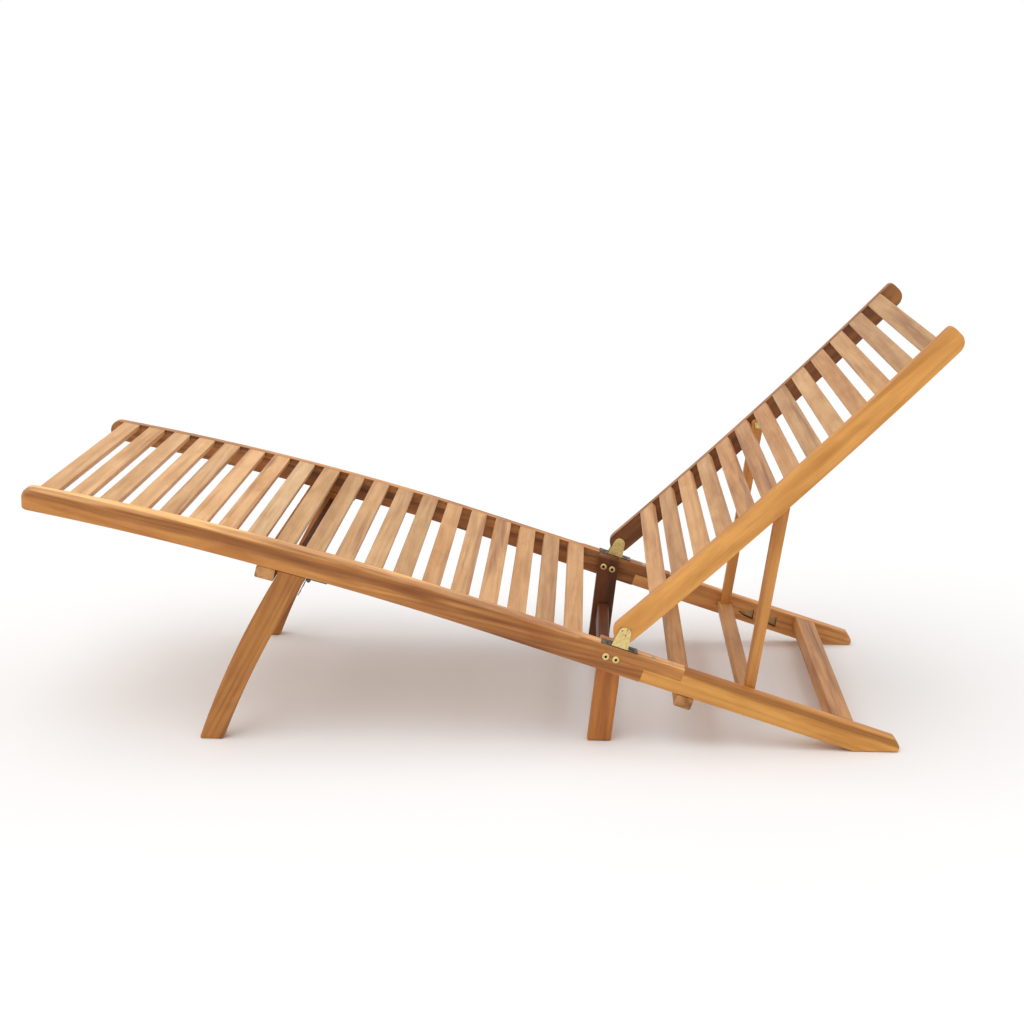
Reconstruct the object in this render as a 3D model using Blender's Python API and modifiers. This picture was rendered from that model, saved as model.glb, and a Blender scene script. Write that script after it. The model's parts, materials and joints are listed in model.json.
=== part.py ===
"""Wooden sun lounger with a reclining back, a rack and prop, and folding front legs.

World frame: X runs from the foot end to the head end, Y across, Z up from the floor.
Lengths are in metres. The side view of each piece is drawn in X and Z.
"""
import math

import bmesh
import bpy
from mathutils import Matrix, Vector

# Fits
GAP = 0.0003
RUNNING_GAP = 0.0001

# Rails
OUTER_HALF_WIDTH = 0.300
RAIL_THICKNESS = 0.026
RAIL_DEPTH = 0.051
NOSE_DEPTH = 0.043
RAIL_EDGE = 0.004
RAIL_ROUND_OVER = 0.010
ROUND_OVER_END = 0.052
RAIL_FOOT_X = 0.0677
RAIL_FOOT_Z = 0.2007
RAIL_SLOPE = math.radians(18.16)
BEND_START = 0.2817
BEND_RADIUS = 6.2
NOSE_X = -1.0555
NOSE_TOP_RADIUS = 0.020
NOSE_BOTTOM_RADIUS = 0.013
NOSE_RUN_IN = 0.008
LAP_TOP_END = -0.131
LAP_SHOULDER = -0.057
LAP_DROP = 0.024
LAP_EXTRA = 0.040
CUT_MARGIN = 0.020
REAR_RAIL_END = -0.552
REAR_TIP_X = 0.6045
REAR_TIP_Z = 0.010
REAR_HEEL_X = 0.602

# Seat slats
SEAT_SLAT_COUNT = 19
SEAT_SLAT_PITCH = 0.0569
SEAT_SLAT_FIRST = 0.0727
SLAT_WIDTH = 0.036
SLAT_THICKNESS = 0.012
SLAT_EDGE = 0.0018
TENON_WIDTH = 0.028
TENON_THICKNESS = 0.008
TENON_LENGTH = 0.010

# Cross battens
STOP_BATTEN_AHEAD = 0.0838
STOP_BATTEN_WIDTH = 0.037
STOP_BATTEN_THICKNESS = 0.0245
LAP_BAR_T = -0.151
LAP_BAR_WIDTH = 0.034
LAP_BAR_THICKNESS = 0.0235
END_BAR_T = -0.452
END_BAR_WIDTH = 0.045
END_BAR_THICKNESS = 0.027
BATTEN_EDGE = 0.003

# Front legs and their hinge
BARREL_T = 0.5985
BARREL_DROP = 0.0045
LEG_TOP_GAP = 0.0005
LEG_TOP_REAR_AHEAD = 0.005
LEG_TOP_FRONT_AHEAD = 0.0615
LEG_SHOULDER_AHEAD = 0.0600
LEG_SHOULDER_RISE = 0.0095
LEG_FOOT_REAR_AHEAD = 0.1790
LEG_FOOT_WIDTH = 0.046
LEG_FRONT_BOW = 0.0095
LEG_REAR_BOW = 0.0093
LEG_EDGE = 0.004
BARREL_RADIUS = 0.004
LEAF_LENGTH = 0.035
LEAF_WIDTH = 0.022
LEAF_THICKNESS = 0.002
LEG_BAR_THICKNESS = 0.022
LEG_BAR_WIDTH = 0.045
LEG_BAR_DISTANCE = 0.040

# Rear legs
REAR_LEG_THICKNESS = 0.024
REAR_LEG_WIDTH = 0.046
REAR_LEG_FOOT_X = 0.0325
REAR_LEG_LEAN = math.radians(6.1)
STRETCHER_THICKNESS = 0.024
STRETCHER_WIDTH = 0.040
STRETCHER_TOP_Z = 0.100
BOLT_STATIONS = (0.019, -0.001)
BOLT_DROP = 0.023
BOLT_SHANK_RADIUS = 0.003
BOLT_HEAD_RADIUS = 0.007
BOLT_HEAD_HEIGHT = 0.0015
SOCKET_RADIUS = 0.0028
SOCKET_DEPTH = 0.003

# Backrest
HINGE_X = 0.0785
HINGE_Z = 0.2335
STILE_THICKNESS = 0.020
STILE_INSET = 0.003
STILE_WIDTH = 0.045
STILE_LENGTH = 0.812
STILE_BOW_RADIUS = 10.3
STILE_TOP_RADIUS = 0.010
STILE_REAR_RADIUS = 0.022
BACK_ANGLE = math.radians(44.5)
BACK_SLAT_COUNT = 13
BACK_SLAT_FIRST = 0.079
BACK_TOP_MARGIN = 0.0334

# Hinge brackets
BRACKET_HALF_LENGTH = 0.036
BRACKET_PLATE = 0.002
EAR_HALF_BASE = 0.0165
EAR_TOP_RADIUS = 0.012
EAR_CENTRE_DROP = 0.003
PIN_RADIUS = 0.003
RIVET_RADIUS = 0.0045
RIVET_HEIGHT = 0.0007

# Prop
PROP_STATION = 0.401
PROP_TOP_WIDTH = 0.024
PROP_FOOT_WIDTH = 0.020
PROP_THICKNESS = 0.019
PROP_SIDE_GAP = 0.004
PROP_BAR_X = 0.315
PROP_BAR_Z = 0.092
PROP_BAR_WIDTH = 0.031
PROP_BAR_THICKNESS = 0.018
PIVOT_RADIUS = 0.004
PIVOT_COLLAR_RADIUS = 0.008
PIVOT_BITE = 0.013

# Rack pockets
POCKET_COUNT = 3
POCKET_STEP_X = 0.0509
POCKET_STEP_Z = -0.0170
POCKET_DEPTH = 0.012
POCKET_OUTLINE = (
    (0.2964, 0.0939), (0.3323, 0.0973), (0.3295, 0.0739), (0.3085, 0.0831))

# Derived positions
RAIL_INNER = OUTER_HALF_WIDTH - RAIL_THICKNESS
RAIL_CENTRE = OUTER_HALF_WIDTH - RAIL_THICKNESS / 2
STILE_OUTER = OUTER_HALF_WIDTH - STILE_INSET
STILE_INNER = STILE_OUTER - STILE_THICKNESS
STILE_CENTRE = STILE_OUTER - STILE_THICKNESS / 2
REAR_LEG_OUTER = RAIL_INNER - GAP
REAR_LEG_INNER = REAR_LEG_OUTER - REAR_LEG_THICKNESS
PROP_OUTER = STILE_INNER - PROP_SIDE_GAP
PROP_CENTRE = PROP_OUTER - PROP_THICKNESS / 2
STOP_BATTEN_T = BARREL_T + STOP_BATTEN_AHEAD
TAPER_START = STOP_BATTEN_T + STOP_BATTEN_WIDTH / 2
BACK_SLAT_PITCH = (
    STILE_LENGTH - BACK_SLAT_FIRST - BACK_TOP_MARGIN - SLAT_WIDTH) / (BACK_SLAT_COUNT - 1)
SIDES = (("near", -1.0), ("far", 1.0))

RAIL_FOOT = Vector((RAIL_FOOT_X, RAIL_FOOT_Z))
RAIL_ALONG = Vector((-math.cos(RAIL_SLOPE), math.sin(RAIL_SLOPE)))
RAIL_UP = Vector((math.sin(RAIL_SLOPE), math.cos(RAIL_SLOPE)))
BACK_ALONG = Vector((math.cos(BACK_ANGLE), math.sin(BACK_ANGLE)))
BACK_OUT = Vector((-math.sin(BACK_ANGLE), math.cos(BACK_ANGLE)))
HINGE = Vector((HINGE_X, HINGE_Z))


def bend_angle(t):
    """Angle that the rails have turned at distance t along their top line."""
    return max(0.0, (t - BEND_START) / BEND_RADIUS)


def rail_point(t, drop):
    """Point at distance t along the rails' top line and drop below it."""
    if t <= BEND_START:
        return RAIL_FOOT + RAIL_ALONG * t - RAIL_UP * drop
    theta = bend_angle(t)
    centre = RAIL_FOOT + RAIL_ALONG * BEND_START - RAIL_UP * BEND_RADIUS
    radial = RAIL_UP * math.cos(theta) + RAIL_ALONG * math.sin(theta)
    return centre + radial * (BEND_RADIUS - drop)


def rail_angle(t):
    """Slope of the rails at distance t, in radians."""
    return RAIL_SLOPE - bend_angle(t)


def nose_station(drop):
    """Distance t at which the line at this drop reaches the nose's end face."""
    centre = RAIL_FOOT + RAIL_ALONG * BEND_START - RAIL_UP * BEND_RADIUS
    turned = RAIL_SLOPE - math.asin((NOSE_X - centre.x) / (BEND_RADIUS - drop))
    return BEND_START + BEND_RADIUS * turned


def rail_depth(t):
    """Depth of the rails at distance t; the front rails taper towards the nose."""
    taper = max(0.0, t - TAPER_START) / (nose_station(0.0) - TAPER_START)
    return RAIL_DEPTH - (RAIL_DEPTH - NOSE_DEPTH) * taper


def stile_point(s, w):
    """Point at distance s along the stile's bowed centre line and w toward the sitter."""
    half = STILE_LENGTH / (2 * STILE_BOW_RADIUS)
    middle = HINGE + BACK_ALONG * (STILE_BOW_RADIUS * math.sin(half))
    centre = middle + BACK_OUT * (STILE_BOW_RADIUS * math.cos(half))
    theta = (s - STILE_LENGTH / 2) / STILE_BOW_RADIUS
    radial = BACK_ALONG * math.sin(theta) - BACK_OUT * math.cos(theta)
    return centre + radial * (STILE_BOW_RADIUS - w)


def stile_angle(s):
    """Slope of the stile at distance s, in radians."""
    return BACK_ANGLE + (s - STILE_LENGTH / 2) / STILE_BOW_RADIUS


def bowed_edge(start, end, bow, count):
    """Points of a shallow arc from start to end, bow to the left of the way it runs."""
    start = Vector(start)
    end = Vector(end)
    chord = end - start
    left = Vector((-chord.y, chord.x)).normalized()
    points = []
    for step in range(count + 1):
        part = step / count
        points.append(start + chord * part + left * (4 * bow * part * (1 - part)))
    return points


def rounded_corner(before, corner, after, radius, count):
    """Arc points that replace a corner between two straight edges."""
    corner = Vector(corner)
    to_before = (Vector(before) - corner).normalized()
    to_after = (Vector(after) - corner).normalized()
    half = to_before.angle(to_after) / 2
    reach = radius / math.tan(half)
    centre = corner + (to_before + to_after).normalized() * (radius / math.sin(half))
    first = corner + to_before * reach - centre
    last = corner + to_after * reach - centre
    turn = first.angle_signed(last)
    points = []
    for step in range(count + 1):
        angle = -turn * step / count
        cosine = math.cos(angle)
        sine = math.sin(angle)
        points.append(centre + Vector((
            first.x * cosine - first.y * sine, first.x * sine + first.y * cosine)))
    return points


def circle_arc(centre, radius, start, end, count):
    """Points on a circle from angle start to angle end, in radians."""
    points = []
    for step in range(count + 1):
        angle = start + (end - start) * step / count
        points.append(Vector(centre) + Vector((math.cos(angle), math.sin(angle))) * radius)
    return points


def new_collection(name):
    collection = bpy.data.collections.new(name)
    bpy.context.scene.collection.children.link(collection)
    return collection


for old in list(bpy.data.objects):
    bpy.data.objects.remove(old, do_unlink=True)
PARTS = new_collection("sun_lounger")
CUTTERS = new_collection("cutters")


def make_material(name, colour, roughness, metallic=0.0):
    """Plain material with the piece's own colour."""
    material = bpy.data.materials.new(name)
    material.use_nodes = True
    shader = material.node_tree.nodes["Principled BSDF"]
    shader.inputs["Base Color"].default_value = (*colour, 1.0)
    shader.inputs["Roughness"].default_value = roughness
    shader.inputs["Metallic"].default_value = metallic
    return material


WOOD_SLAT = (0.76, 0.46, 0.22)
WOOD_RAIL = (0.36, 0.14, 0.05)
WOOD_REAR_RAIL = (0.62, 0.30, 0.08)
WOOD_LEG = (0.46, 0.20, 0.06)
WOOD_STILE = (0.66, 0.30, 0.08)
WOOD_BAR = (0.48, 0.24, 0.12)
BRASS = (0.72, 0.55, 0.22)
STEEL = (0.50, 0.48, 0.42)


def place(obj, name, collection):
    """Name an object and move it to a collection."""
    obj.name = name
    for holder in list(obj.users_collection):
        holder.objects.unlink(obj)
    collection.objects.link(obj)
    return obj


def paint(obj, colour, roughness=0.5, metallic=0.0):
    """Give a piece its own material."""
    obj.data.materials.clear()
    obj.data.materials.append(make_material(obj.name + "_finish", colour, roughness, metallic))
    return obj


def object_from_mesh(name, mesh, collection):
    obj = bpy.data.objects.new(name, mesh)
    collection.objects.link(obj)
    return obj


def evaluated_mesh(obj):
    """Mesh of an object with its modifiers, or of a curve."""
    bpy.context.view_layer.update()
    graph = bpy.context.evaluated_depsgraph_get()
    return bpy.data.meshes.new_from_object(obj.evaluated_get(graph))


def add_bevel(obj, width, segments=2, angle=40.0):
    modifier = obj.modifiers.new("rounded_edges", "BEVEL")
    modifier.width = width
    modifier.segments = segments
    modifier.limit_method = "ANGLE"
    modifier.angle_limit = math.radians(angle)
    return modifier


def add_boolean(obj, other, operation="DIFFERENCE"):
    modifier = obj.modifiers.new(other.name, "BOOLEAN")
    modifier.object = other
    modifier.operation = operation
    modifier.solver = "EXACT"
    other.hide_render = True
    other.display_type = "WIRE"
    return modifier


def bake(obj):
    """Replace an object's mesh with its modified mesh."""
    mesh = evaluated_mesh(obj)
    obj.modifiers.clear()
    obj.data = mesh
    return obj


def side_plate(name, outline, origin, y_centre, thickness, collection):
    """Flat plate drawn in the side view, with its origin at a point of that view."""
    curve = bpy.data.curves.new(name, "CURVE")
    curve.dimensions = "2D"
    curve.fill_mode = "BOTH"
    curve.extrude = thickness / 2
    spline = curve.splines.new("POLY")
    spline.points.add(len(outline) - 1)
    for point, target in zip(spline.points, outline):
        point.co = (target[0] - origin[0], target[1] - origin[1], 0.0, 1.0)
    spline.use_cyclic_u = True
    source = object_from_mesh(name + "_outline", curve, collection)
    source.rotation_euler = (math.pi / 2, 0.0, 0.0)
    source.location = (origin[0], y_centre, origin[1])
    mesh = evaluated_mesh(source)
    shell = bmesh.new()
    shell.from_mesh(mesh)
    bmesh.ops.remove_doubles(shell, verts=shell.verts, dist=0.00001)
    bmesh.ops.recalc_face_normals(shell, faces=shell.faces)
    shell.to_mesh(mesh)
    shell.free()
    obj = object_from_mesh(name, mesh, collection)
    obj.matrix_world = source.matrix_world.copy()
    bpy.data.objects.remove(source, do_unlink=True)
    return obj


def box(name, size, location, tilt, collection):
    """Box centred on location, its X axis tilted down by tilt in the side view."""
    mesh = bpy.data.meshes.new(name)
    shell = bmesh.new()
    scale = Matrix.Diagonal((*size, 1.0))
    bmesh.ops.create_cube(shell, size=1.0, matrix=scale)
    shell.to_mesh(mesh)
    shell.free()
    obj = object_from_mesh(name, mesh, collection)
    obj.location = location
    obj.rotation_euler = (0.0, tilt, 0.0)
    return obj


def box_set(name, boxes, collection):
    """One cutter made of separate boxes: size, centre and tilt of each."""
    mesh = bpy.data.meshes.new(name)
    shell = bmesh.new()
    for size, centre, tilt in boxes:
        matrix = Matrix.Translation(centre) @ Matrix.Rotation(tilt, 4, "Y")
        bmesh.ops.create_cube(shell, size=1.0, matrix=matrix @ Matrix.Diagonal((*size, 1.0)))
    shell.to_mesh(mesh)
    shell.free()
    return object_from_mesh(name, mesh, collection)


def rod(name, radius, y_start, y_end, x, z, collection, segments=32):
    """Straight round rod along Y."""
    mesh = bpy.data.meshes.new(name)
    shell = bmesh.new()
    turn = Matrix.Rotation(math.pi / 2, 4, "X")
    bmesh.ops.create_cone(
        shell, cap_ends=True, segments=segments, radius1=radius, radius2=radius,
        depth=abs(y_end - y_start), matrix=turn)
    shell.to_mesh(mesh)
    shell.free()
    obj = object_from_mesh(name, mesh, collection)
    obj.location = (x, (y_start + y_end) / 2, z)
    return obj


def turned(name, profile, side, x, z, collection, steps=32):
    """Solid of revolution about Y; the profile lists radius and distance from the centre plane."""
    mesh = bpy.data.meshes.new(name)
    points = [(radius, 0.0, reach) for radius, reach in profile]
    edges = [(index, index + 1) for index in range(len(points) - 1)]
    mesh.from_pydata(points, edges, [])
    obj = object_from_mesh(name, mesh, collection)
    screw = obj.modifiers.new("turned", "SCREW")
    screw.axis = "Z"
    screw.steps = steps
    screw.render_steps = steps
    screw.use_merge_vertices = True
    screw.merge_threshold = 0.00001
    screw.use_normal_calculate = True
    bake(obj)
    shell = bmesh.new()
    shell.from_mesh(obj.data)
    bmesh.ops.remove_doubles(shell, verts=shell.verts, dist=0.00001)
    bmesh.ops.recalc_face_normals(shell, faces=shell.faces)
    shell.to_mesh(obj.data)
    shell.free()
    obj.rotation_euler = (-side * math.pi / 2, 0.0, 0.0)
    obj.location = (x, 0.0, z)
    for face in obj.data.polygons:
        face.use_smooth = True
    return obj


# Side rails
def front_rail_outline():
    """Seat rail in the side view, with its rear end left long for the lap cut."""
    rear = LAP_TOP_END - LAP_EXTRA
    top, nose, bottom = front_rail_edges()
    outline = [rail_point(rear, 0.0)] + top + nose + bottom[::-1]
    outline.append(rail_point(rear, RAIL_DEPTH))
    return outline


def front_rail_edges():
    """Top line, nose and bottom line of the front rail, each as points from rear to nose."""
    top_end = nose_station(0.0)
    bottom_end = nose_station(NOSE_DEPTH)
    top_run = top_end - NOSE_TOP_RADIUS - NOSE_RUN_IN
    bottom_run = bottom_end - NOSE_BOTTOM_RADIUS - NOSE_RUN_IN
    spans = 24
    top = []
    bottom = []
    for step in range(spans):
        part = step / (spans - 1)
        top.append(rail_point(BEND_START + (top_run - BEND_START) * part, 0.0))
        t = BEND_START + (bottom_run - BEND_START) * part
        bottom.append(rail_point(t, rail_depth(t)))
    top_corner = rail_point(top_end, 0.0)
    bottom_corner = rail_point(bottom_end, NOSE_DEPTH)
    nose = rounded_corner(top[-1], top_corner, bottom_corner, NOSE_TOP_RADIUS, 7)
    nose += rounded_corner(top_corner, bottom_corner, bottom[-1], NOSE_BOTTOM_RADIUS, 7)
    return top, nose, bottom


def round_over_cutter(label, side):
    """Rounds the front rail's outer top edge, from ahead of the bracket to below the nose."""
    top, nose, _ = front_rail_edges()
    run_out = (1.0, 0.55, 0.2, 0.04)
    lifts = [RAIL_ROUND_OVER * part for part in run_out] + [0.0] * (len(top) + len(nose))
    start = [
        rail_point(ROUND_OVER_END + RAIL_ROUND_OVER * step, 0.0) for step in range(len(run_out))]
    path = start + top + nose
    lower = len(nose) // 2
    for step in range(lower):
        lifts[len(path) - lower + step] = RAIL_ROUND_OVER * ((step + 1) / lower) ** 2
    outside = -RAIL_EDGE
    section = [(outside, outside), (outside, RAIL_ROUND_OVER)]
    for step in range(7):
        angle = math.pi / 2 * step / 6
        section.append((
            RAIL_ROUND_OVER * (1 - math.cos(angle)) - RUNNING_GAP,
            RAIL_ROUND_OVER * (1 - math.sin(angle)) - RUNNING_GAP))
    section.append((RAIL_ROUND_OVER, outside))
    shell = bmesh.new()
    rings = []
    for index, point in enumerate(path):
        before = path[max(index - 1, 0)]
        after = path[min(index + 1, len(path) - 1)]
        along = (after - before).normalized()
        normal = Vector((along.y, -along.x))
        ring = []
        for inward, drop in section:
            place_at = point + normal * (lifts[index] - drop)
            y = side * (OUTER_HALF_WIDTH - inward + lifts[index])
            ring.append(shell.verts.new((place_at.x, y, place_at.y)))
        rings.append(ring)
    for ring, following in zip(rings, rings[1:]):
        for index in range(len(ring)):
            other = (index + 1) % len(ring)
            shell.faces.new((ring[index], ring[other], following[other], following[index]))
    shell.faces.new(rings[0])
    shell.faces.new(rings[-1][::-1])
    bmesh.ops.recalc_face_normals(shell, faces=shell.faces)
    mesh = bpy.data.meshes.new("round_over_" + label)
    shell.to_mesh(mesh)
    shell.free()
    return object_from_mesh("round_over_" + label, mesh, CUTTERS)


def rear_rail_outline():
    """Rear rail in the side view, with its front end left long for the lap cut."""
    front = LAP_SHOULDER + LAP_EXTRA
    floor_t = (RAIL_DEPTH * math.cos(RAIL_SLOPE) - RAIL_FOOT_Z) / math.sin(RAIL_SLOPE)
    floor_point = rail_point(floor_t, RAIL_DEPTH)
    return [
        rail_point(front, RAIL_DEPTH), floor_point, Vector((REAR_HEEL_X, 0.0)),
        Vector((REAR_TIP_X, REAR_TIP_Z)), rail_point(REAR_RAIL_END, 0.0), rail_point(front, 0.0)]


def lap_cutter(name, upper, side):
    """Removes the lower half of the front rail's lap, or the upper half of the rear rail's."""
    wide = RAIL_THICKNESS + CUT_MARGIN
    far = LAP_TOP_END - LAP_EXTRA - CUT_MARGIN
    near = LAP_SHOULDER + LAP_EXTRA + CUT_MARGIN
    if upper:
        points = [
            rail_point(LAP_SHOULDER, RAIL_DEPTH + CUT_MARGIN),
            rail_point(LAP_SHOULDER, LAP_DROP), rail_point(LAP_TOP_END, LAP_DROP),
            rail_point(LAP_TOP_END, -CUT_MARGIN), rail_point(far, -CUT_MARGIN),
            rail_point(far, RAIL_DEPTH + CUT_MARGIN)]
    else:
        points = [
            rail_point(near, -CUT_MARGIN), rail_point(LAP_TOP_END - GAP, -CUT_MARGIN),
            rail_point(LAP_TOP_END - GAP, LAP_DROP + GAP),
            rail_point(LAP_SHOULDER - GAP, LAP_DROP + GAP),
            rail_point(LAP_SHOULDER - GAP, RAIL_DEPTH + CUT_MARGIN),
            rail_point(near, RAIL_DEPTH + CUT_MARGIN)]
    return side_plate(name, points, RAIL_FOOT, side * RAIL_CENTRE, wide, CUTTERS)


def seat_slat_station(index):
    return SEAT_SLAT_FIRST + SLAT_WIDTH / 2 + SEAT_SLAT_PITCH * index


def seat_mortises(side):
    """Blind mortises for the seat slats' tenons in one rail."""
    depth = TENON_LENGTH + GAP
    size = (TENON_WIDTH + 2 * GAP, depth + 0.010, TENON_THICKNESS + 2 * GAP)
    boxes = []
    for index in range(SEAT_SLAT_COUNT):
        station = seat_slat_station(index)
        point = rail_point(station, SLAT_THICKNESS / 2)
        y = side * (RAIL_INNER + depth / 2 - 0.005)
        boxes.append((size, (point.x, y, point.y), rail_angle(station)))
    return boxes


def bolt_points():
    return [rail_point(t, BOLT_DROP) for t in BOLT_STATIONS]


def bolt_hole_cutter(name, side, inner, outer):
    """Clear holes for the rear leg bolts, as one cutter."""
    mesh = bpy.data.meshes.new(name)
    shell = bmesh.new()
    turn = Matrix.Rotation(math.pi / 2, 4, "X")
    middle = side * (inner + outer) / 2
    for point in bolt_points():
        matrix = Matrix.Translation((point.x, middle, point.y)) @ turn
        bmesh.ops.create_cone(
            shell, cap_ends=True, segments=24, radius1=BOLT_SHANK_RADIUS + GAP,
            radius2=BOLT_SHANK_RADIUS + GAP, depth=outer - inner + 0.02, matrix=matrix)
    shell.to_mesh(mesh)
    shell.free()
    return object_from_mesh(name, mesh, CUTTERS)


def build_front_rail(label, side):
    rail = side_plate(
        "front_rail_" + label, front_rail_outline(), RAIL_FOOT, side * RAIL_CENTRE,
        RAIL_THICKNESS, PARTS)
    add_bevel(rail, RAIL_EDGE, 3)
    add_boolean(rail, round_over_cutter(label, side))
    add_boolean(rail, lap_cutter("front_lap_" + label, True, side))
    add_boolean(rail, box_set("seat_mortises_" + label, seat_mortises(side), CUTTERS))
    add_boolean(rail, bolt_hole_cutter(
        "rail_bolt_holes_" + label, side, RAIL_INNER, OUTER_HALF_WIDTH))
    return paint(rail, WOOD_RAIL, 0.45)


def pocket_cutter(label, side):
    """The three blind pockets of the rack in one rear rail."""
    joined = None
    for index in range(POCKET_COUNT):
        outline = [
            (x + POCKET_STEP_X * index, z + POCKET_STEP_Z * index) for x, z in POCKET_OUTLINE]
        centre = side * (RAIL_INNER + POCKET_DEPTH / 2 - 0.010)
        plate = side_plate(
            "rack_pocket_%s_%d" % (label, index + 1), outline, outline[0], centre,
            POCKET_DEPTH + 0.020, CUTTERS)
        if joined is None:
            joined = [plate]
        else:
            joined.append(plate)
    return joined


def build_rear_rail(label, side):
    rail = side_plate(
        "rear_rail_" + label, rear_rail_outline(), RAIL_FOOT, side * RAIL_CENTRE,
        RAIL_THICKNESS, PARTS)
    add_bevel(rail, RAIL_EDGE, 3)
    add_boolean(rail, lap_cutter("rear_lap_" + label, False, side))
    for cutter in pocket_cutter(label, side):
        add_boolean(rail, cutter)
    return paint(rail, WOOD_REAR_RAIL, 0.45)


def tenoned_slat(name, inner_width):
    """Slat centred on the origin: X across the slat, Y along it, Z its thickness."""
    body = box(
        name, (SLAT_WIDTH, 2 * (inner_width - GAP), SLAT_THICKNESS), (0, 0, 0), 0.0, CUTTERS)
    add_bevel(body, SLAT_EDGE, 2)
    tongue = box(
        name + "_tenons", (TENON_WIDTH, 2 * (inner_width + TENON_LENGTH), TENON_THICKNESS),
        (0, 0, 0), 0.0, CUTTERS)
    add_boolean(body, tongue, "UNION")
    mesh = evaluated_mesh(body)
    bpy.data.objects.remove(body, do_unlink=True)
    bpy.data.objects.remove(tongue, do_unlink=True)
    return mesh


def build_seat_slats():
    base = tenoned_slat("seat_slat_body", RAIL_INNER)
    slats = []
    for index in range(SEAT_SLAT_COUNT):
        station = seat_slat_station(index)
        point = rail_point(station, SLAT_THICKNESS / 2)
        slat = object_from_mesh("seat_slat_%02d" % (index + 1), base.copy(), PARTS)
        slat.location = (point.x, 0.0, point.y)
        slat.rotation_euler = (0.0, rail_angle(station), 0.0)
        slats.append(paint(slat, WOOD_SLAT, 0.5))
    return slats


def build_cross_bar(name, station, drop, width, thickness, half_length):
    """Batten square to the rails, its top face at this drop."""
    point = rail_point(station, drop + thickness / 2)
    bar = box(
        name, (width, 2 * half_length, thickness), (point.x, 0.0, point.y),
        rail_angle(station), PARTS)
    add_bevel(bar, BATTEN_EDGE, 2)
    return paint(bar, WOOD_BAR, 0.5)


# Front legs
BARREL = rail_point(BARREL_T, RAIL_DEPTH + BARREL_DROP)
LEG_FOOT_REAR = Vector((BARREL.x - LEG_FOOT_REAR_AHEAD, 0.0))


def front_leg_outline():
    top_rear = rail_point(BARREL_T + LEG_TOP_REAR_AHEAD, RAIL_DEPTH + LEG_TOP_GAP)
    top_front = rail_point(BARREL_T + LEG_TOP_FRONT_AHEAD, RAIL_DEPTH + LEG_TOP_GAP)
    shoulder = BARREL + Vector((-LEG_SHOULDER_AHEAD, LEG_SHOULDER_RISE))
    front = bowed_edge(shoulder, (LEG_FOOT_REAR.x - LEG_FOOT_WIDTH, 0.0), -LEG_FRONT_BOW, 14)
    rear = bowed_edge(LEG_FOOT_REAR, top_rear, LEG_REAR_BOW, 14)
    return [top_front] + front + rear


def leg_middle(distance):
    """Centre of the leg's width at a distance below its top, and its lean from vertical."""
    start = rail_point(BARREL_T + (LEG_TOP_REAR_AHEAD + LEG_TOP_FRONT_AHEAD) / 2, RAIL_DEPTH)
    foot = LEG_FOOT_REAR - Vector((LEG_FOOT_WIDTH / 2, 0.0))
    along = (foot - start).normalized()
    square = Vector((along.y, -along.x))
    part = distance / (foot - start).length
    bow = 4 * (LEG_FRONT_BOW + LEG_REAR_BOW) / 2 * part * (1 - part)
    return start + along * distance + square * bow, math.atan2(-along.x, -along.y)


def build_front_legs(axis):
    pieces = []
    for label, side in SIDES:
        leg = side_plate(
            "front_leg_" + label, front_leg_outline(), BARREL, side * RAIL_CENTRE,
            RAIL_THICKNESS, PARTS)
        add_bevel(leg, LEG_EDGE, 3)
        pieces.append(paint(leg, WOOD_LEG, 0.5))
    middle, lean = leg_middle(LEG_BAR_DISTANCE)
    bar = box(
        "leg_crossbar", (LEG_BAR_THICKNESS, 2 * (RAIL_INNER - GAP), LEG_BAR_WIDTH),
        (middle.x, 0.0, middle.y), lean, PARTS)
    add_bevel(bar, BATTEN_EDGE, 2)
    pieces.append(paint(bar, WOOD_BAR, 0.5))
    for piece in pieces:
        attach(piece, axis)
    return pieces


def build_leg_hinge(label, side):
    """Fixed leaf under the rail, with the barrel at its front edge."""
    half = LEAF_WIDTH / 2
    leaf_t = BARREL_T - LEAF_LENGTH / 2
    point = rail_point(leaf_t, RAIL_DEPTH + GAP + LEAF_THICKNESS / 2)
    leaf = box(
        "leg_hinge_" + label, (LEAF_LENGTH, LEAF_WIDTH, LEAF_THICKNESS),
        (point.x, side * RAIL_CENTRE, point.y), rail_angle(leaf_t), PARTS)
    barrel = rod(
        "leg_hinge_barrel_" + label, BARREL_RADIUS, side * (RAIL_CENTRE - half),
        side * (RAIL_CENTRE + half), BARREL.x, BARREL.y, CUTTERS, 24)
    add_boolean(leaf, barrel, "UNION")
    return paint(leaf, BRASS, 0.35, 0.9)


# Rear legs
def rear_leg_x(z, across):
    lean = math.tan(REAR_LEG_LEAN)
    return REAR_LEG_FOOT_X + z * lean + across / math.cos(REAR_LEG_LEAN)


def rear_leg_top(across):
    """Where an edge of the rear leg meets the rails' top line."""
    fall = math.tan(RAIL_SLOPE)
    lean = math.tan(REAR_LEG_LEAN)
    z = (RAIL_FOOT_Z - (rear_leg_x(0.0, across) - RAIL_FOOT_X) * fall) / (1 + lean * fall)
    return Vector((rear_leg_x(z, across), z))


def build_rear_leg(label, side):
    half = REAR_LEG_WIDTH / 2
    outline = [
        Vector((rear_leg_x(0.0, -half), 0.0)), Vector((rear_leg_x(0.0, half), 0.0)),
        rear_leg_top(half), rear_leg_top(-half)]
    centre = side * (REAR_LEG_OUTER + REAR_LEG_INNER) / 2
    leg = side_plate(
        "rear_leg_" + label, outline, outline[0], centre, REAR_LEG_THICKNESS, PARTS)
    add_bevel(leg, LEG_EDGE, 3)
    add_boolean(leg, bolt_hole_cutter(
        "leg_bolt_holes_" + label, side, REAR_LEG_INNER, REAR_LEG_OUTER))
    return paint(leg, WOOD_LEG, 0.5)


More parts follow.
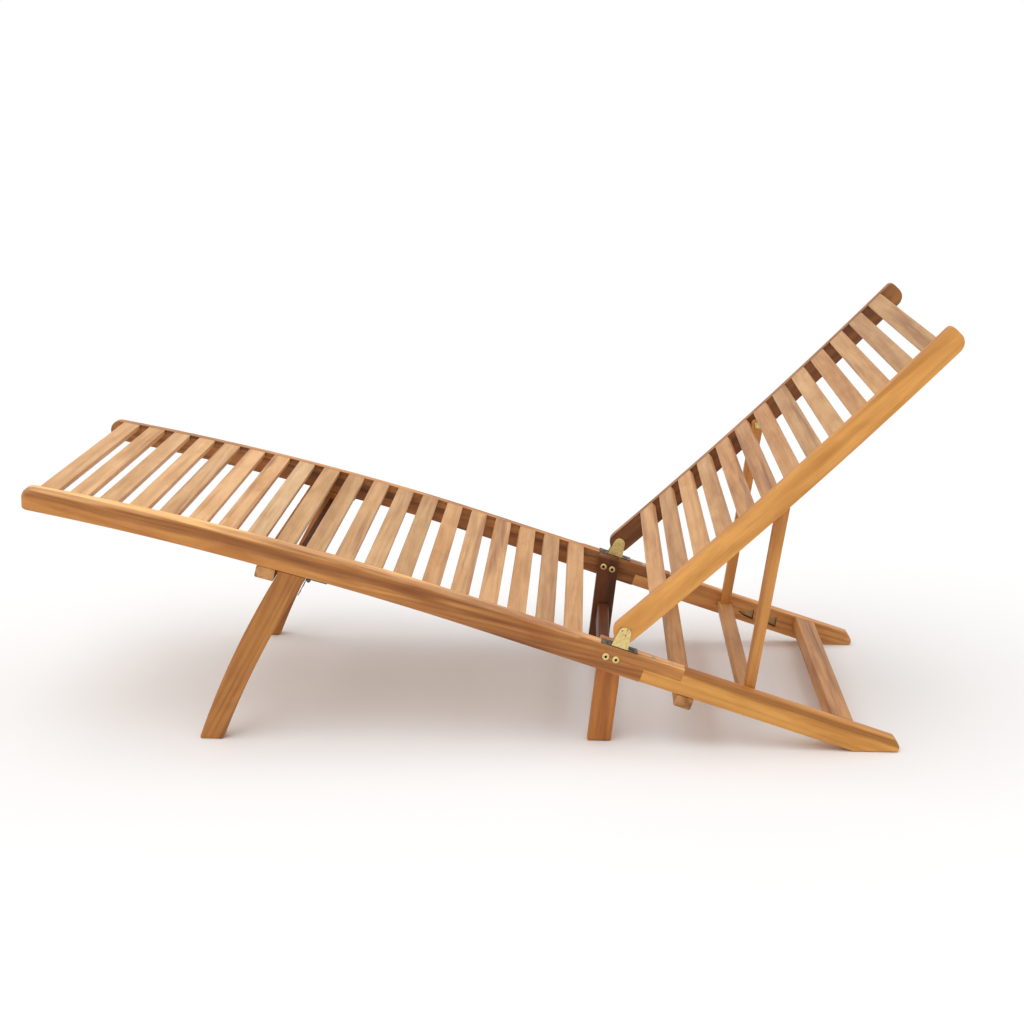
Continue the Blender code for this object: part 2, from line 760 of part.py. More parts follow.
def build_rear_stretcher():
    z = STRETCHER_TOP_Z - STRETCHER_WIDTH / 2
    bar = box(
        "rear_stretcher", (STRETCHER_THICKNESS, 2 * (REAR_LEG_INNER - GAP), STRETCHER_WIDTH),
        (rear_leg_x(z, 0.0), 0.0, z), REAR_LEG_LEAN, PARTS)
    add_bevel(bar, BATTEN_EDGE, 2)
    return paint(bar, WOOD_BAR, 0.5)


def build_leg_bolts(label, side):
    """Bolt with a sleeve nut, as one turned piece, and a hexagonal socket in its head."""
    outer = OUTER_HALF_WIDTH + GAP
    inner = REAR_LEG_INNER - GAP
    rim = BOLT_HEAD_RADIUS
    crown = rim - 0.001
    profile = [
        (0.0, inner - BOLT_HEAD_HEIGHT), (crown, inner - BOLT_HEAD_HEIGHT),
        (rim, inner - 0.0005), (rim, inner), (BOLT_SHANK_RADIUS, inner),
        (BOLT_SHANK_RADIUS, outer), (rim, outer), (rim, outer + 0.0005),
        (crown, outer + BOLT_HEAD_HEIGHT), (0.0, outer + BOLT_HEAD_HEIGHT)]
    bolts = []
    for number, point in enumerate(bolt_points(), 1):
        bolt = turned(
            "rear_leg_bolt_%s_%d" % (label, number), profile, side, point.x, point.y,
            PARTS, 24)
        top = outer + BOLT_HEAD_HEIGHT
        socket = rod(
            "bolt_socket_%s_%d" % (label, number), SOCKET_RADIUS,
            side * (top - SOCKET_DEPTH), side * (top + 0.004), point.x, point.y, CUTTERS, 6)
        add_boolean(bolt, socket)
        bolts.append(paint(bolt, BRASS, 0.3, 0.9))
    return bolts


# Backrest
def stile_outline():
    half = STILE_WIDTH / 2
    count = 16
    front = [stile_point(STILE_LENGTH * step / count, half) for step in range(count)]
    rear = [stile_point(STILE_LENGTH * step / count, -half) for step in range(count)]
    front_corner = stile_point(STILE_LENGTH, half)
    rear_corner = stile_point(STILE_LENGTH, -half)
    top = rounded_corner(rear[-1], rear_corner, front_corner, STILE_REAR_RADIUS, 8)
    top += rounded_corner(rear_corner, front_corner, front[-1], STILE_TOP_RADIUS, 5)
    start = stile_angle(0.0) + math.pi / 2
    low_end = circle_arc(HINGE, half, start, start + math.pi, 18)[1:-1]
    return rear + top + front[::-1] + low_end


def back_slat_station(index):
    return BACK_SLAT_FIRST + SLAT_WIDTH / 2 + BACK_SLAT_PITCH * index


def back_slat_centre(index):
    return stile_point(back_slat_station(index), STILE_WIDTH / 2 - SLAT_THICKNESS / 2)


def build_stile(label, side, axis):
    stile = side_plate(
        "back_stile_" + label, stile_outline(), HINGE, side * STILE_CENTRE, STILE_THICKNESS,
        PARTS)
    add_bevel(stile, 0.003, 3)
    depth = TENON_LENGTH + GAP
    size = (TENON_WIDTH + 2 * GAP, depth + 0.010, TENON_THICKNESS + 2 * GAP)
    boxes = []
    for index in range(BACK_SLAT_COUNT):
        centre = back_slat_centre(index)
        y = side * (STILE_INNER + depth / 2 - 0.005)
        boxes.append((size, (centre.x, y, centre.y), -stile_angle(back_slat_station(index))))
    add_boolean(stile, box_set("back_mortises_" + label, boxes, CUTTERS))
    inner = side * (STILE_INNER - 0.01)
    outer = side * (STILE_OUTER + 0.01)
    add_boolean(stile, rod(
        "stile_hinge_hole_" + label, PIN_RADIUS + RUNNING_GAP, inner, outer, HINGE_X,
        HINGE_Z, CUTTERS))
    add_boolean(stile, rod(
        "stile_pivot_hole_" + label, PIVOT_RADIUS + GAP, inner,
        side * (STILE_INNER + PIVOT_BITE + GAP), PIVOT.x, PIVOT.y, CUTTERS))
    attach(paint(stile, WOOD_STILE, 0.45), axis)
    return stile


def build_back_slats(axis):
    base = tenoned_slat("back_slat_body", STILE_INNER)
    for index in range(BACK_SLAT_COUNT):
        centre = back_slat_centre(index)
        slat = object_from_mesh("back_slat_%02d" % (index + 1), base.copy(), PARTS)
        slat.location = (centre.x, 0.0, centre.y)
        slat.rotation_euler = (0.0, -stile_angle(back_slat_station(index)), 0.0)
        attach(paint(slat, WOOD_SLAT, 0.5), axis)


def build_bracket(label, side):
    """Clevis on the rail: base strip, two ears and the riveted pin."""
    tilt = RAIL_SLOPE
    lift = GAP
    ear_inner = STILE_INNER - GAP - BRACKET_PLATE
    ear_outer = STILE_OUTER + GAP + BRACKET_PLATE
    middle = side * (ear_inner + ear_outer) / 2
    base_centre = rail_point(0.0, -(lift + BRACKET_PLATE / 2))
    strip = box(
        "hinge_bracket_" + label,
        (2 * BRACKET_HALF_LENGTH, ear_outer - ear_inner, BRACKET_PLATE),
        (base_centre.x, middle, base_centre.y), tilt, PARTS)
    foot_height = lift + BRACKET_PLATE / 2
    height = (HINGE - RAIL_FOOT).dot(RAIL_UP) - EAR_CENTRE_DROP
    reach = math.hypot(EAR_HALF_BASE, height - foot_height)
    toward = math.atan2(foot_height - height, EAR_HALF_BASE)
    start = toward + math.acos(EAR_TOP_RADIUS / reach)
    arc = circle_arc((0.0, height), EAR_TOP_RADIUS, start, math.pi - start, 14)
    profile = [Vector((-EAR_HALF_BASE, foot_height)), Vector((EAR_HALF_BASE, foot_height))]
    outline = [RAIL_FOOT - RAIL_ALONG * p.x + RAIL_UP * p.y for p in profile + arc]
    for number, y in enumerate((ear_inner, ear_outer - BRACKET_PLATE), 1):
        ear = side_plate(
            "bracket_ear_%s_%d" % (label, number), outline, HINGE,
            side * (y + BRACKET_PLATE / 2), BRACKET_PLATE, CUTTERS)
        add_boolean(strip, ear, "UNION")
    inner = ear_inner - RIVET_HEIGHT
    outer = ear_outer + RIVET_HEIGHT
    rivet = turned(
        "bracket_pin_" + label,
        [(0.0, inner), (RIVET_RADIUS - 0.0008, inner), (RIVET_RADIUS, ear_inner - 0.0002),
         (RIVET_RADIUS, ear_inner + 0.0005), (PIN_RADIUS, ear_inner + 0.0005),
         (PIN_RADIUS, ear_outer - 0.0005), (RIVET_RADIUS, ear_outer - 0.0005),
         (RIVET_RADIUS, ear_outer + 0.0002), (RIVET_RADIUS - 0.0008, outer), (0.0, outer)],
        side, HINGE_X, HINGE_Z, CUTTERS, 32)
    add_boolean(strip, rivet, "UNION")
    return paint(strip, BRASS, 0.35, 0.9)


# Prop
PIVOT = stile_point(PROP_STATION, 0.0)
PROP_FOOT = Vector((PROP_BAR_X, PROP_BAR_Z))
PROP_ALONG = (PROP_FOOT - PIVOT).normalized()
PROP_ACROSS = Vector((-PROP_ALONG.y, PROP_ALONG.x))


def build_prop(axis):
    length = (PROP_FOOT - PIVOT).length - PROP_BAR_THICKNESS / 2 - GAP
    half_top = PROP_TOP_WIDTH / 2
    half_foot = PROP_FOOT_WIDTH / 2
    facing = math.atan2(PROP_ACROSS.y, PROP_ACROSS.x)
    cap = circle_arc(PIVOT, half_top, facing, facing + math.pi, 16)
    foot = PIVOT + PROP_ALONG * length
    for label, side in SIDES:
        outline = [foot - PROP_ACROSS * half_foot, foot + PROP_ACROSS * half_foot] + cap
        strut = side_plate(
            "prop_strut_" + label, outline, PIVOT, side * PROP_CENTRE, PROP_THICKNESS, PARTS)
        add_bevel(strut, 0.003, 3)
        add_boolean(strut, rod(
            "strut_pivot_hole_" + label, PIVOT_RADIUS + RUNNING_GAP,
            side * (PROP_OUTER - PROP_THICKNESS - 0.01), side * (PROP_OUTER + 0.01),
            PIVOT.x, PIVOT.y, CUTTERS))
        attach(paint(strut, WOOD_STILE, 0.5), axis)
    tilt = -math.atan2(PROP_ACROSS.y, PROP_ACROSS.x)
    bar = box(
        "prop_bar", (PROP_BAR_WIDTH, 2 * PROP_OUTER, PROP_BAR_THICKNESS),
        (PROP_BAR_X, 0.0, PROP_BAR_Z), tilt, PARTS)
    add_bevel(bar, BATTEN_EDGE, 2)
    attach(paint(bar, WOOD_BAR, 0.5), axis)


def build_prop_pivot(label, side, axis):
    """Pivot screw: shank in the stile, collar between stile and strut, head inside."""
    tip = STILE_INNER + PIVOT_BITE
    collar_out = STILE_INNER - GAP
    collar_in = PROP_OUTER + GAP
    head = PROP_OUTER - PROP_THICKNESS - GAP
    rim = BOLT_HEAD_RADIUS
    profile = [
        (0.0, head - BOLT_HEAD_HEIGHT), (rim - 0.001, head - BOLT_HEAD_HEIGHT),
        (rim, head - 0.0005), (rim, head), (PIVOT_RADIUS, head), (PIVOT_RADIUS, collar_in),
        (PIVOT_COLLAR_RADIUS, collar_in), (PIVOT_COLLAR_RADIUS, collar_out),
        (PIVOT_RADIUS, collar_out), (PIVOT_RADIUS, tip - 0.001), (PIVOT_RADIUS - 0.001, tip),
        (0.0, tip)]
    pivot = turned("prop_pivot_" + label, profile, side, PIVOT.x, PIVOT.y, PARTS, 32)
    attach(paint(pivot, BRASS, 0.3, 0.9), axis)
    return pivot


# Joint axes
def joint_axis(name, point, parent):
    """Empty on a joint's axis; the pieces that turn about it hang from it."""
    empty = bpy.data.objects.new(name, None)
    PARTS.objects.link(empty)
    empty.empty_display_size = 0.05
    empty.location = (point.x, 0.0, point.y)
    bpy.context.view_layer.update()
    if parent is not None:
        attach(empty, parent)
    return empty


def attach(obj, parent):
    """Parent an object and keep it where it is."""
    bpy.context.view_layer.update()
    obj.parent = parent
    obj.matrix_parent_inverse = parent.matrix_world.inverted()


def centre_on_origin(root):
    """Slide everything so that the middle of its length is over the origin."""
    bpy.context.view_layer.update()
    graph = bpy.context.evaluated_depsgraph_get()
    low = math.inf
    high = -math.inf
    for obj in PARTS.objects:
        if obj.type != "MESH":
            continue
        evaluated = obj.evaluated_get(graph)
        for vertex in evaluated.data.vertices:
            x = (evaluated.matrix_world @ vertex.co).x
            low = min(low, x)
            high = max(high, x)
    root.location.x = -(low + high) / 2
    bpy.context.view_layer.update()


def build_lounger():
    back_axis = joint_axis("backrest_axis", HINGE, None)
    prop_axis = joint_axis("prop_axis", PIVOT, back_axis)
    leg_axis = joint_axis("front_leg_axis", BARREL, None)
    for label, side in SIDES:
        build_front_rail(label, side)
        build_rear_rail(label, side)
        build_rear_leg(label, side)
        build_leg_bolts(label, side)
        build_leg_hinge(label, side)
        build_bracket(label, side)
        build_stile(label, side, back_axis)
        build_prop_pivot(label, side, back_axis)
    build_seat_slats()
    build_back_slats(back_axis)
    build_cross_bar(
        "stop_batten", STOP_BATTEN_T, RAIL_DEPTH + GAP, STOP_BATTEN_WIDTH,
        STOP_BATTEN_THICKNESS, OUTER_HALF_WIDTH)
    build_cross_bar(
        "lap_crossbar", LAP_BAR_T, RAIL_DEPTH + GAP, LAP_BAR_WIDTH, LAP_BAR_THICKNESS,
        OUTER_HALF_WIDTH)
    build_cross_bar(
        "end_crossbar", END_BAR_T, 0.0, END_BAR_WIDTH, END_BAR_THICKNESS, RAIL_INNER - GAP)
    build_rear_stretcher()
    build_front_legs(leg_axis)
    build_prop(prop_axis)
    root = bpy.data.objects.new("lounger_root", None)
    PARTS.objects.link(root)
    bpy.context.view_layer.update()
    for obj in list(PARTS.objects) + list(CUTTERS.objects):
        if obj is not root and obj.parent is None:
            attach(obj, root)
    centre_on_origin(root)


build_lounger()
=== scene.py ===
"""Looks of a slatted wooden sun lounger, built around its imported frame.

World frame: X toward the head end, Y across to the far side, Z up, in metres.
"""

import json
import logging
import math
from dataclasses import dataclass, field
from enum import Enum
from typing import Callable, Dict, List, Optional, Sequence, Tuple

import bmesh
import bpy
from mathutils import Matrix, Vector

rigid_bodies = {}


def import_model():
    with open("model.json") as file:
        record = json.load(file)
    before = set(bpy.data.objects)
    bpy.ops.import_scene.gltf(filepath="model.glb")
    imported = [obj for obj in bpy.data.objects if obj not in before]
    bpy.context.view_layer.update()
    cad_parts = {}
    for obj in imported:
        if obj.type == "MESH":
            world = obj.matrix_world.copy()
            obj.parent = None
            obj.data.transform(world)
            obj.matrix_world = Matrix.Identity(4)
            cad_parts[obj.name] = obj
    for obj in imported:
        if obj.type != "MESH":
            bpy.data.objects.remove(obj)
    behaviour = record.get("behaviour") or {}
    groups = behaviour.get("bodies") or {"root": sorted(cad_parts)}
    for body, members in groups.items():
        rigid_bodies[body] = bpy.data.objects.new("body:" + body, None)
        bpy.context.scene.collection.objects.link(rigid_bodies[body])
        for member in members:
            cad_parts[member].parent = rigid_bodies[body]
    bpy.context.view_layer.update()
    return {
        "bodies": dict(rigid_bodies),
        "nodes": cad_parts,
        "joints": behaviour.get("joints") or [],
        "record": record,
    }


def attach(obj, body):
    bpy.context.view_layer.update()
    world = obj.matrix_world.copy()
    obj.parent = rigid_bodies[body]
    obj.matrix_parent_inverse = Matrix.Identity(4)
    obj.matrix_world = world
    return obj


LOG = logging.getLogger("sun_lounger")
Triple = Tuple[float, float, float]
Colour = Triple
Pair = Tuple[float, float]
SIDES: Tuple[Tuple[str, float], ...] = (("near", -1.0), ("far", 1.0))
RAIL_CENTRE: float = 0.287
PLAIN: Colour = (1.0, 1.0, 1.0)
TOWARD_HEAD: Vector = Vector((1.0, 0.0, 0.0))


def srgb(code: str) -> Colour:
    """Turn a hex colour into linear light, by the standard curve.

    Args:
        code: Six hex digits.

    Returns:
        Linear red, green and blue.
    """
    values = [int(code[start:start + 2], 16) / 255 for start in (0, 2, 4)]
    linear = [v / 12.92 if v <= 0.04045 else ((v + 0.055) / 1.055) ** 2.4 for v in values]
    return (linear[0], linear[1], linear[2])


def scaled(colour: Colour, factor: float, warmth: float = 0.0) -> Colour:
    """Lighten or darken a colour and shift it toward red or yellow.

    Args:
        colour: Linear colour.
        factor: Brightness factor.
        warmth: Positive toward red, negative toward yellow.

    Returns:
        The changed colour.
    """
    red, green, blue = colour
    return (
        min(1.0, red * factor), min(1.0, green * factor * (1 - warmth * 0.5)),
        min(1.0, blue * factor * (1 - warmth)))


def spread(seed: int, salt: float) -> float:
    """Make a repeatable value between -1 and 1 for one piece, by a common sine hash.

    Args:
        seed: Number of the piece.
        salt: Tells one use from another.

    Returns:
        The value.
    """
    wave = math.sin(seed * 12.9898 + salt * 78.233) * 43758.5453
    return 2.0 * (wave - math.floor(wave)) - 1.0


class Grain(Enum):
    """Way that the grain of a piece runs."""

    ACROSS = "across the lounger"
    SLOPE = "in the side view"


class Recess(Enum):
    """Drive recess in a fastener's head."""

    HEX = 6
    CROSS = 4


@dataclass(frozen=True)
class RailLine:
    """Top line of the side rails in the side view: a straight part, then a slow bend.

    Distances start under the backrest hinge and grow toward the foot end.
    """

    foot: Pair = (0.2630734, 0.2007)
    slope: float = math.radians(18.16)
    bend_start: float = 0.2817
    bend_radius: float = 6.2

    def angle(self, t: float) -> float:
        """Find the slope of the rails.

        Args:
            t: Distance along the top line.

        Returns:
            The slope in radians.
        """
        return self.slope - max(0.0, (t - self.bend_start) / self.bend_radius)

    def point(self, t: float, drop: float = 0.0) -> Vector:
        """Find a point of the side view.

        Args:
            t: Distance along the top line, toward the foot end.
            drop: Distance below the top line.

        Returns:
            X and Z of the point.
        """
        foot = Vector(self.foot)
        along = Vector((-math.cos(self.slope), math.sin(self.slope)))
        up = Vector((math.sin(self.slope), math.cos(self.slope)))
        if t <= self.bend_start:
            return foot + along * t - up * drop
        turned = (t - self.bend_start) / self.bend_radius
        centre = foot + along * self.bend_start - up * self.bend_radius
        radial = up * math.cos(turned) + along * math.sin(turned)
        return centre + radial * (self.bend_radius - drop)

    def normal(self, t: float) -> Vector:
        """Find the upward normal of the top line.

        Args:
            t: Distance along the top line.

        Returns:
            The normal in space.
        """
        angle = self.angle(t)
        return Vector((math.sin(angle), 0.0, math.cos(angle)))

    def drop(self, spot: Vector) -> float:
        """Measure how far a point lies below the top line of the straight part.

        Args:
            spot: The point in space.

        Returns:
            The distance, negative above the line.
        """
        foot = Vector((self.foot[0], 0.0, self.foot[1]))
        return (foot - spot).dot(self.normal(0.0))


RAILS = RailLine()


def new_group(name: str, inputs: Sequence[Tuple[str, str, object]],
              outputs: Sequence[Tuple[str, str]]) -> bpy.types.NodeTree:
    """Make an empty shader node group.

    Args:
        name: Name of the group.
        inputs: Name, socket type and default of each input.
        outputs: Name and socket type of each output.

    Returns:
        The node tree, with its input and output nodes.
    """
    tree = bpy.data.node_groups.new(name, "ShaderNodeTree")
    for label, kind, default in inputs:
        socket = tree.interface.new_socket(label, in_out="INPUT", socket_type=kind)
        socket.default_value = default
    for label, kind in outputs:
        tree.interface.new_socket(label, in_out="OUTPUT", socket_type=kind)
    tree.nodes.new("NodeGroupInput").name = "in"
    tree.nodes.new("NodeGroupOutput").name = "out"
    return tree


@dataclass
class NodeDesk:
    """Short ways to add and join shader nodes in one tree."""

    tree: bpy.types.NodeTree

    def add(self, kind: str, **settings: object) -> bpy.types.Node:
        """Add a node.

        Args:
            kind: Type of the node.
            settings: Its properties.

        Returns:
            The node.
        """
        node = self.tree.nodes.new(kind)
        for key, value in settings.items():
            setattr(node, key, value)
        return node

    def join(self, source: bpy.types.NodeSocket, target: bpy.types.NodeSocket) -> None:
        """Link one socket to another.

        Args:
            source: Output socket.
            target: Input socket.
        """
        self.tree.links.new(source, target)

    def scale(self, vector: bpy.types.NodeSocket, factors: Triple) -> bpy.types.NodeSocket:
        """Multiply a vector by three factors.

        Args:
            vector: The vector.
            factors: Factor of each axis.

        Returns:
            The result's socket.
        """
        node = self.add("ShaderNodeVectorMath", operation="MULTIPLY")
        self.join(vector, node.inputs[0])
        node.inputs[1].default_value = factors
        return node.outputs["Vector"]

    def noise(self, vector: bpy.types.NodeSocket, detail: float = 2.0,
              roughness: float = 0.5, distortion: float = 0.0) -> bpy.types.NodeSocket:
        """Add a noise texture of unit scale.

        Args:
            vector: Where it is read.
            detail: Layers of detail.
            roughness: Share of the fine layers.
            distortion: How much it is warped.

        Returns:
            The factor's socket.
        """
        node = self.add("ShaderNodeTexNoise")
        node.inputs["Scale"].default_value = 1.0
        node.inputs["Detail"].default_value = detail
        node.inputs["Roughness"].default_value = roughness
        node.inputs["Distortion"].default_value = distortion
        self.join(vector, node.inputs["Vector"])
        return node.outputs["Fac"]

    def remap(self, value: bpy.types.NodeSocket, low: float, high: float,
              start: float = 0.0, end: float = 1.0) -> bpy.types.NodeSocket:
        """Stretch a value from one range to another, clamped.

        Args:
            value: The value.
            low: Start of its range.
            high: End of its range.
            start: New start.
            end: New end.

        Returns:
            The result's socket.
        """
        node = self.add("ShaderNodeMapRange")
        self.join(value, node.inputs["Value"])
        node.inputs["From Min"].default_value = low
        node.inputs["From Max"].default_value = high
        node.inputs["To Min"].default_value = start
        node.inputs["To Max"].default_value = end
        return node.outputs["Result"]

    def math(self, operation: str, first: object, second: object) -> bpy.types.NodeSocket:
        """Join two values by one operation.

        Args:
            operation: Name of the operation.
            first: Socket or number.
            second: Socket or number.

        Returns:
            The result's socket.
        """
        node = self.add("ShaderNodeMath", operation=operation)
        for place, item in enumerate((first, second)):
            if isinstance(item, bpy.types.NodeSocket):
                self.join(item, node.inputs[place])
            else:
                node.inputs[place].default_value = item
        return node.outputs["Value"]

    def mix(self, factor: bpy.types.NodeSocket, first: bpy.types.NodeSocket,
            second: bpy.types.NodeSocket, blend: str = "MIX") -> bpy.types.NodeSocket:
        """Mix two colours.

        Args:
            factor: Share of the second colour.
            first: First colour.
            second: Second colour.
            blend: Way of mixing.

        Returns:
            The mixed colour's socket.
        """
        node = self.add("ShaderNodeMix", data_type="RGBA", blend_type=blend)
        self.join(factor, node.inputs["Factor"])
        self.join(first, node.inputs[6])
        self.join(second, node.inputs[7])
        return node.outputs[2]


def build_grain_group() -> bpy.types.NodeTree:
    """Build the shared wood grain.

    Returns:
        Group that reads a place in metres, grain along X, and gives colour, gloss and height.
    """
    tree = new_group(
        "wood_grain",
        (("Place", "NodeSocketVector", (0.0, 0.0, 0.0)),
         ("Light", "NodeSocketColor", (0.7, 0.4, 0.2, 1.0)),
         ("Dark", "NodeSocketColor", (0.4, 0.2, 0.1, 1.0)),
         ("Streak", "NodeSocketColor", (0.2, 0.1, 0.05, 1.0)),
         ("Figure", "NodeSocketFloat", 0.5),
         ("Streaks", "NodeSocketFloat", 0.3),
         ("DarkBand", "NodeSocketFloat", 0.0),
         ("Heart level", "NodeSocketFloat", 0.0),
         ("Heart width", "NodeSocketFloat", 0.01),
         ("Painted light share", "NodeSocketFloat", 0.0),
         ("Painted light tint", "NodeSocketColor", (1.0, 1.0, 1.0, 1.0))),
        (("Colour", "NodeSocketColor"), ("Gloss", "NodeSocketFloat"),
         ("Height", "NodeSocketFloat")))
    desk = NodeDesk(tree)
    source = tree.nodes["in"].outputs
    place = source["Place"]
    tone = desk.remap(desk.noise(desk.scale(place, (1.6, 22.0, 22.0)), 3.0), 0.32, 0.68)
    cloud = desk.remap(
        desk.noise(desk.scale(place, (9.0, 34.0, 34.0)), 3.0, 0.55, 0.6), 0.34, 0.66)
    fibre = desk.noise(desk.scale(place, (7.0, 330.0, 330.0)), 5.0, 0.65)
    fine = desk.noise(desk.scale(place, (24.0, 1100.0, 1100.0)), 3.0, 0.6)
    swell = desk.noise(desk.scale(place, (0.85, 13.0, 13.0)), 1.5, 0.45, 0.15)
    # Growth rings are the level lines of a slow noise that runs along the board.
    wave = desk.math("SINE", desk.math("MULTIPLY", swell, 62.0), 0.0)
    rings = desk.remap(wave, -0.4, 1.0)
    figure = desk.math("MULTIPLY", rings, source["Figure"])
    lines = desk.remap(fibre, 0.33, 0.68)
    # Fine lines, rings, broad tone and clouds add up to the share of dark wood.
    share = desk.math("MULTIPLY", lines, 0.22)
    share = desk.math("ADD", share, desk.math("MULTIPLY", figure, 0.42))
    share = desk.math("ADD", share, desk.math("MULTIPLY", tone, 0.42))
    share = desk.math("ADD", share, desk.math("MULTIPLY", cloud, 0.36))
    share = desk.remap(share, 0.18, 1.05)
    colour = desk.mix(share, source["Light"], source["Dark"])
    apart = desk.add("ShaderNodeSeparateXYZ")
    desk.join(place, apart.inputs["Vector"])
    # The dark band wanders a little and has torn edges.
    wander = desk.noise(desk.scale(place, (2.6, 16.0, 16.0)), 2.0, 0.5)
    level = desk.math("SUBTRACT", apart.outputs["Z"], source["Heart level"])
    level = desk.math("ADD", level, desk.remap(wander, 0.3, 0.7, -0.006, 0.006))
    reach = desk.math("DIVIDE", desk.math("ABSOLUTE", level, 0.0), source["Heart width"])
    dark_band = desk.remap(reach, 0.45, 1.10, 1.0, 0.0)
    dark_band = desk.math("MULTIPLY", dark_band, desk.remap(fibre, 0.30, 0.62, 0.62, 1.0))
    colour = desk.mix(
        desk.math("MULTIPLY", dark_band, source["DarkBand"]), colour, source["Streak"])
    # Dark streaks and pores lie over everything.
    band = desk.noise(desk.scale(place, (1.7, 44.0, 44.0)), 3.0, 0.55, 0.35)
    streak = desk.remap(band, 0.52, 0.72)
    streak = desk.math("MULTIPLY", streak, source["Streaks"])
    colour = desk.mix(streak, colour, source["Streak"])
    pores = desk.remap(fine, 0.60, 0.72, 0.0, 0.22)
    colour = desk.mix(pores, colour, source["Streak"])
    # Painted light: the upward faces, and the board past its lit end, are multiplied by the
    # crown tint, which paints them lighter or darker as the lamps would.
    colour = desk.mix(source["Painted light share"], colour, source["Painted light tint"], "MULTIPLY")
    exits = tree.nodes["out"].inputs
    desk.join(colour, exits["Colour"])
    desk.join(desk.remap(fibre, 0.3, 0.7, 0.0, 1.0), exits["Gloss"])
    height = desk.math("SUBTRACT", fibre, desk.math("MULTIPLY", pores, 0.8))
    desk.join(height, exits["Height"])
    return tree


def build_wear_group() -> bpy.types.NodeTree:
    """Build the shared handling marks of metal.

    Returns:
        Group that reads a place in metres and gives colour, gloss and height.
    """
    tree = new_group(
        "metal_wear",
        (("Place", "NodeSocketVector", (0.0, 0.0, 0.0)),
         ("Clean", "NodeSocketColor", (0.8, 0.6, 0.3, 1.0)),
         ("Tarnish", "NodeSocketColor", (0.4, 0.3, 0.15, 1.0))),
        (("Colour", "NodeSocketColor"), ("Gloss", "NodeSocketFloat"),
         ("Height", "NodeSocketFloat")))
    desk = NodeDesk(tree)
    source = tree.nodes["in"].outputs
    cloud = desk.noise(desk.scale(source["Place"], (160.0, 160.0, 160.0)), 4.0, 0.6)
    brushed = desk.noise(desk.scale(source["Place"], (300.0, 2600.0, 2600.0)), 3.0, 0.6)
    mask = desk.remap(cloud, 0.42, 0.72, 0.0, 0.8)
    exits = tree.nodes["out"].inputs
    desk.join(desk.mix(mask, source["Clean"], source["Tarnish"]), exits["Colour"])
    desk.join(desk.math("ADD", desk.math("MULTIPLY", cloud, 0.5),
                        desk.math("MULTIPLY", brushed, 0.5)), exits["Gloss"])
    desk.join(brushed, exits["Height"])
    return tree


@dataclass
class Workshop:
    """Shared node groups, built once."""

    grain: bpy.types.NodeTree
    wear: bpy.types.NodeTree


@dataclass(frozen=True)
class DarkBand:
    """Dark band along a board, placed by a point of its middle in the side view."""

    spot: Pair
    width: float
    share: float


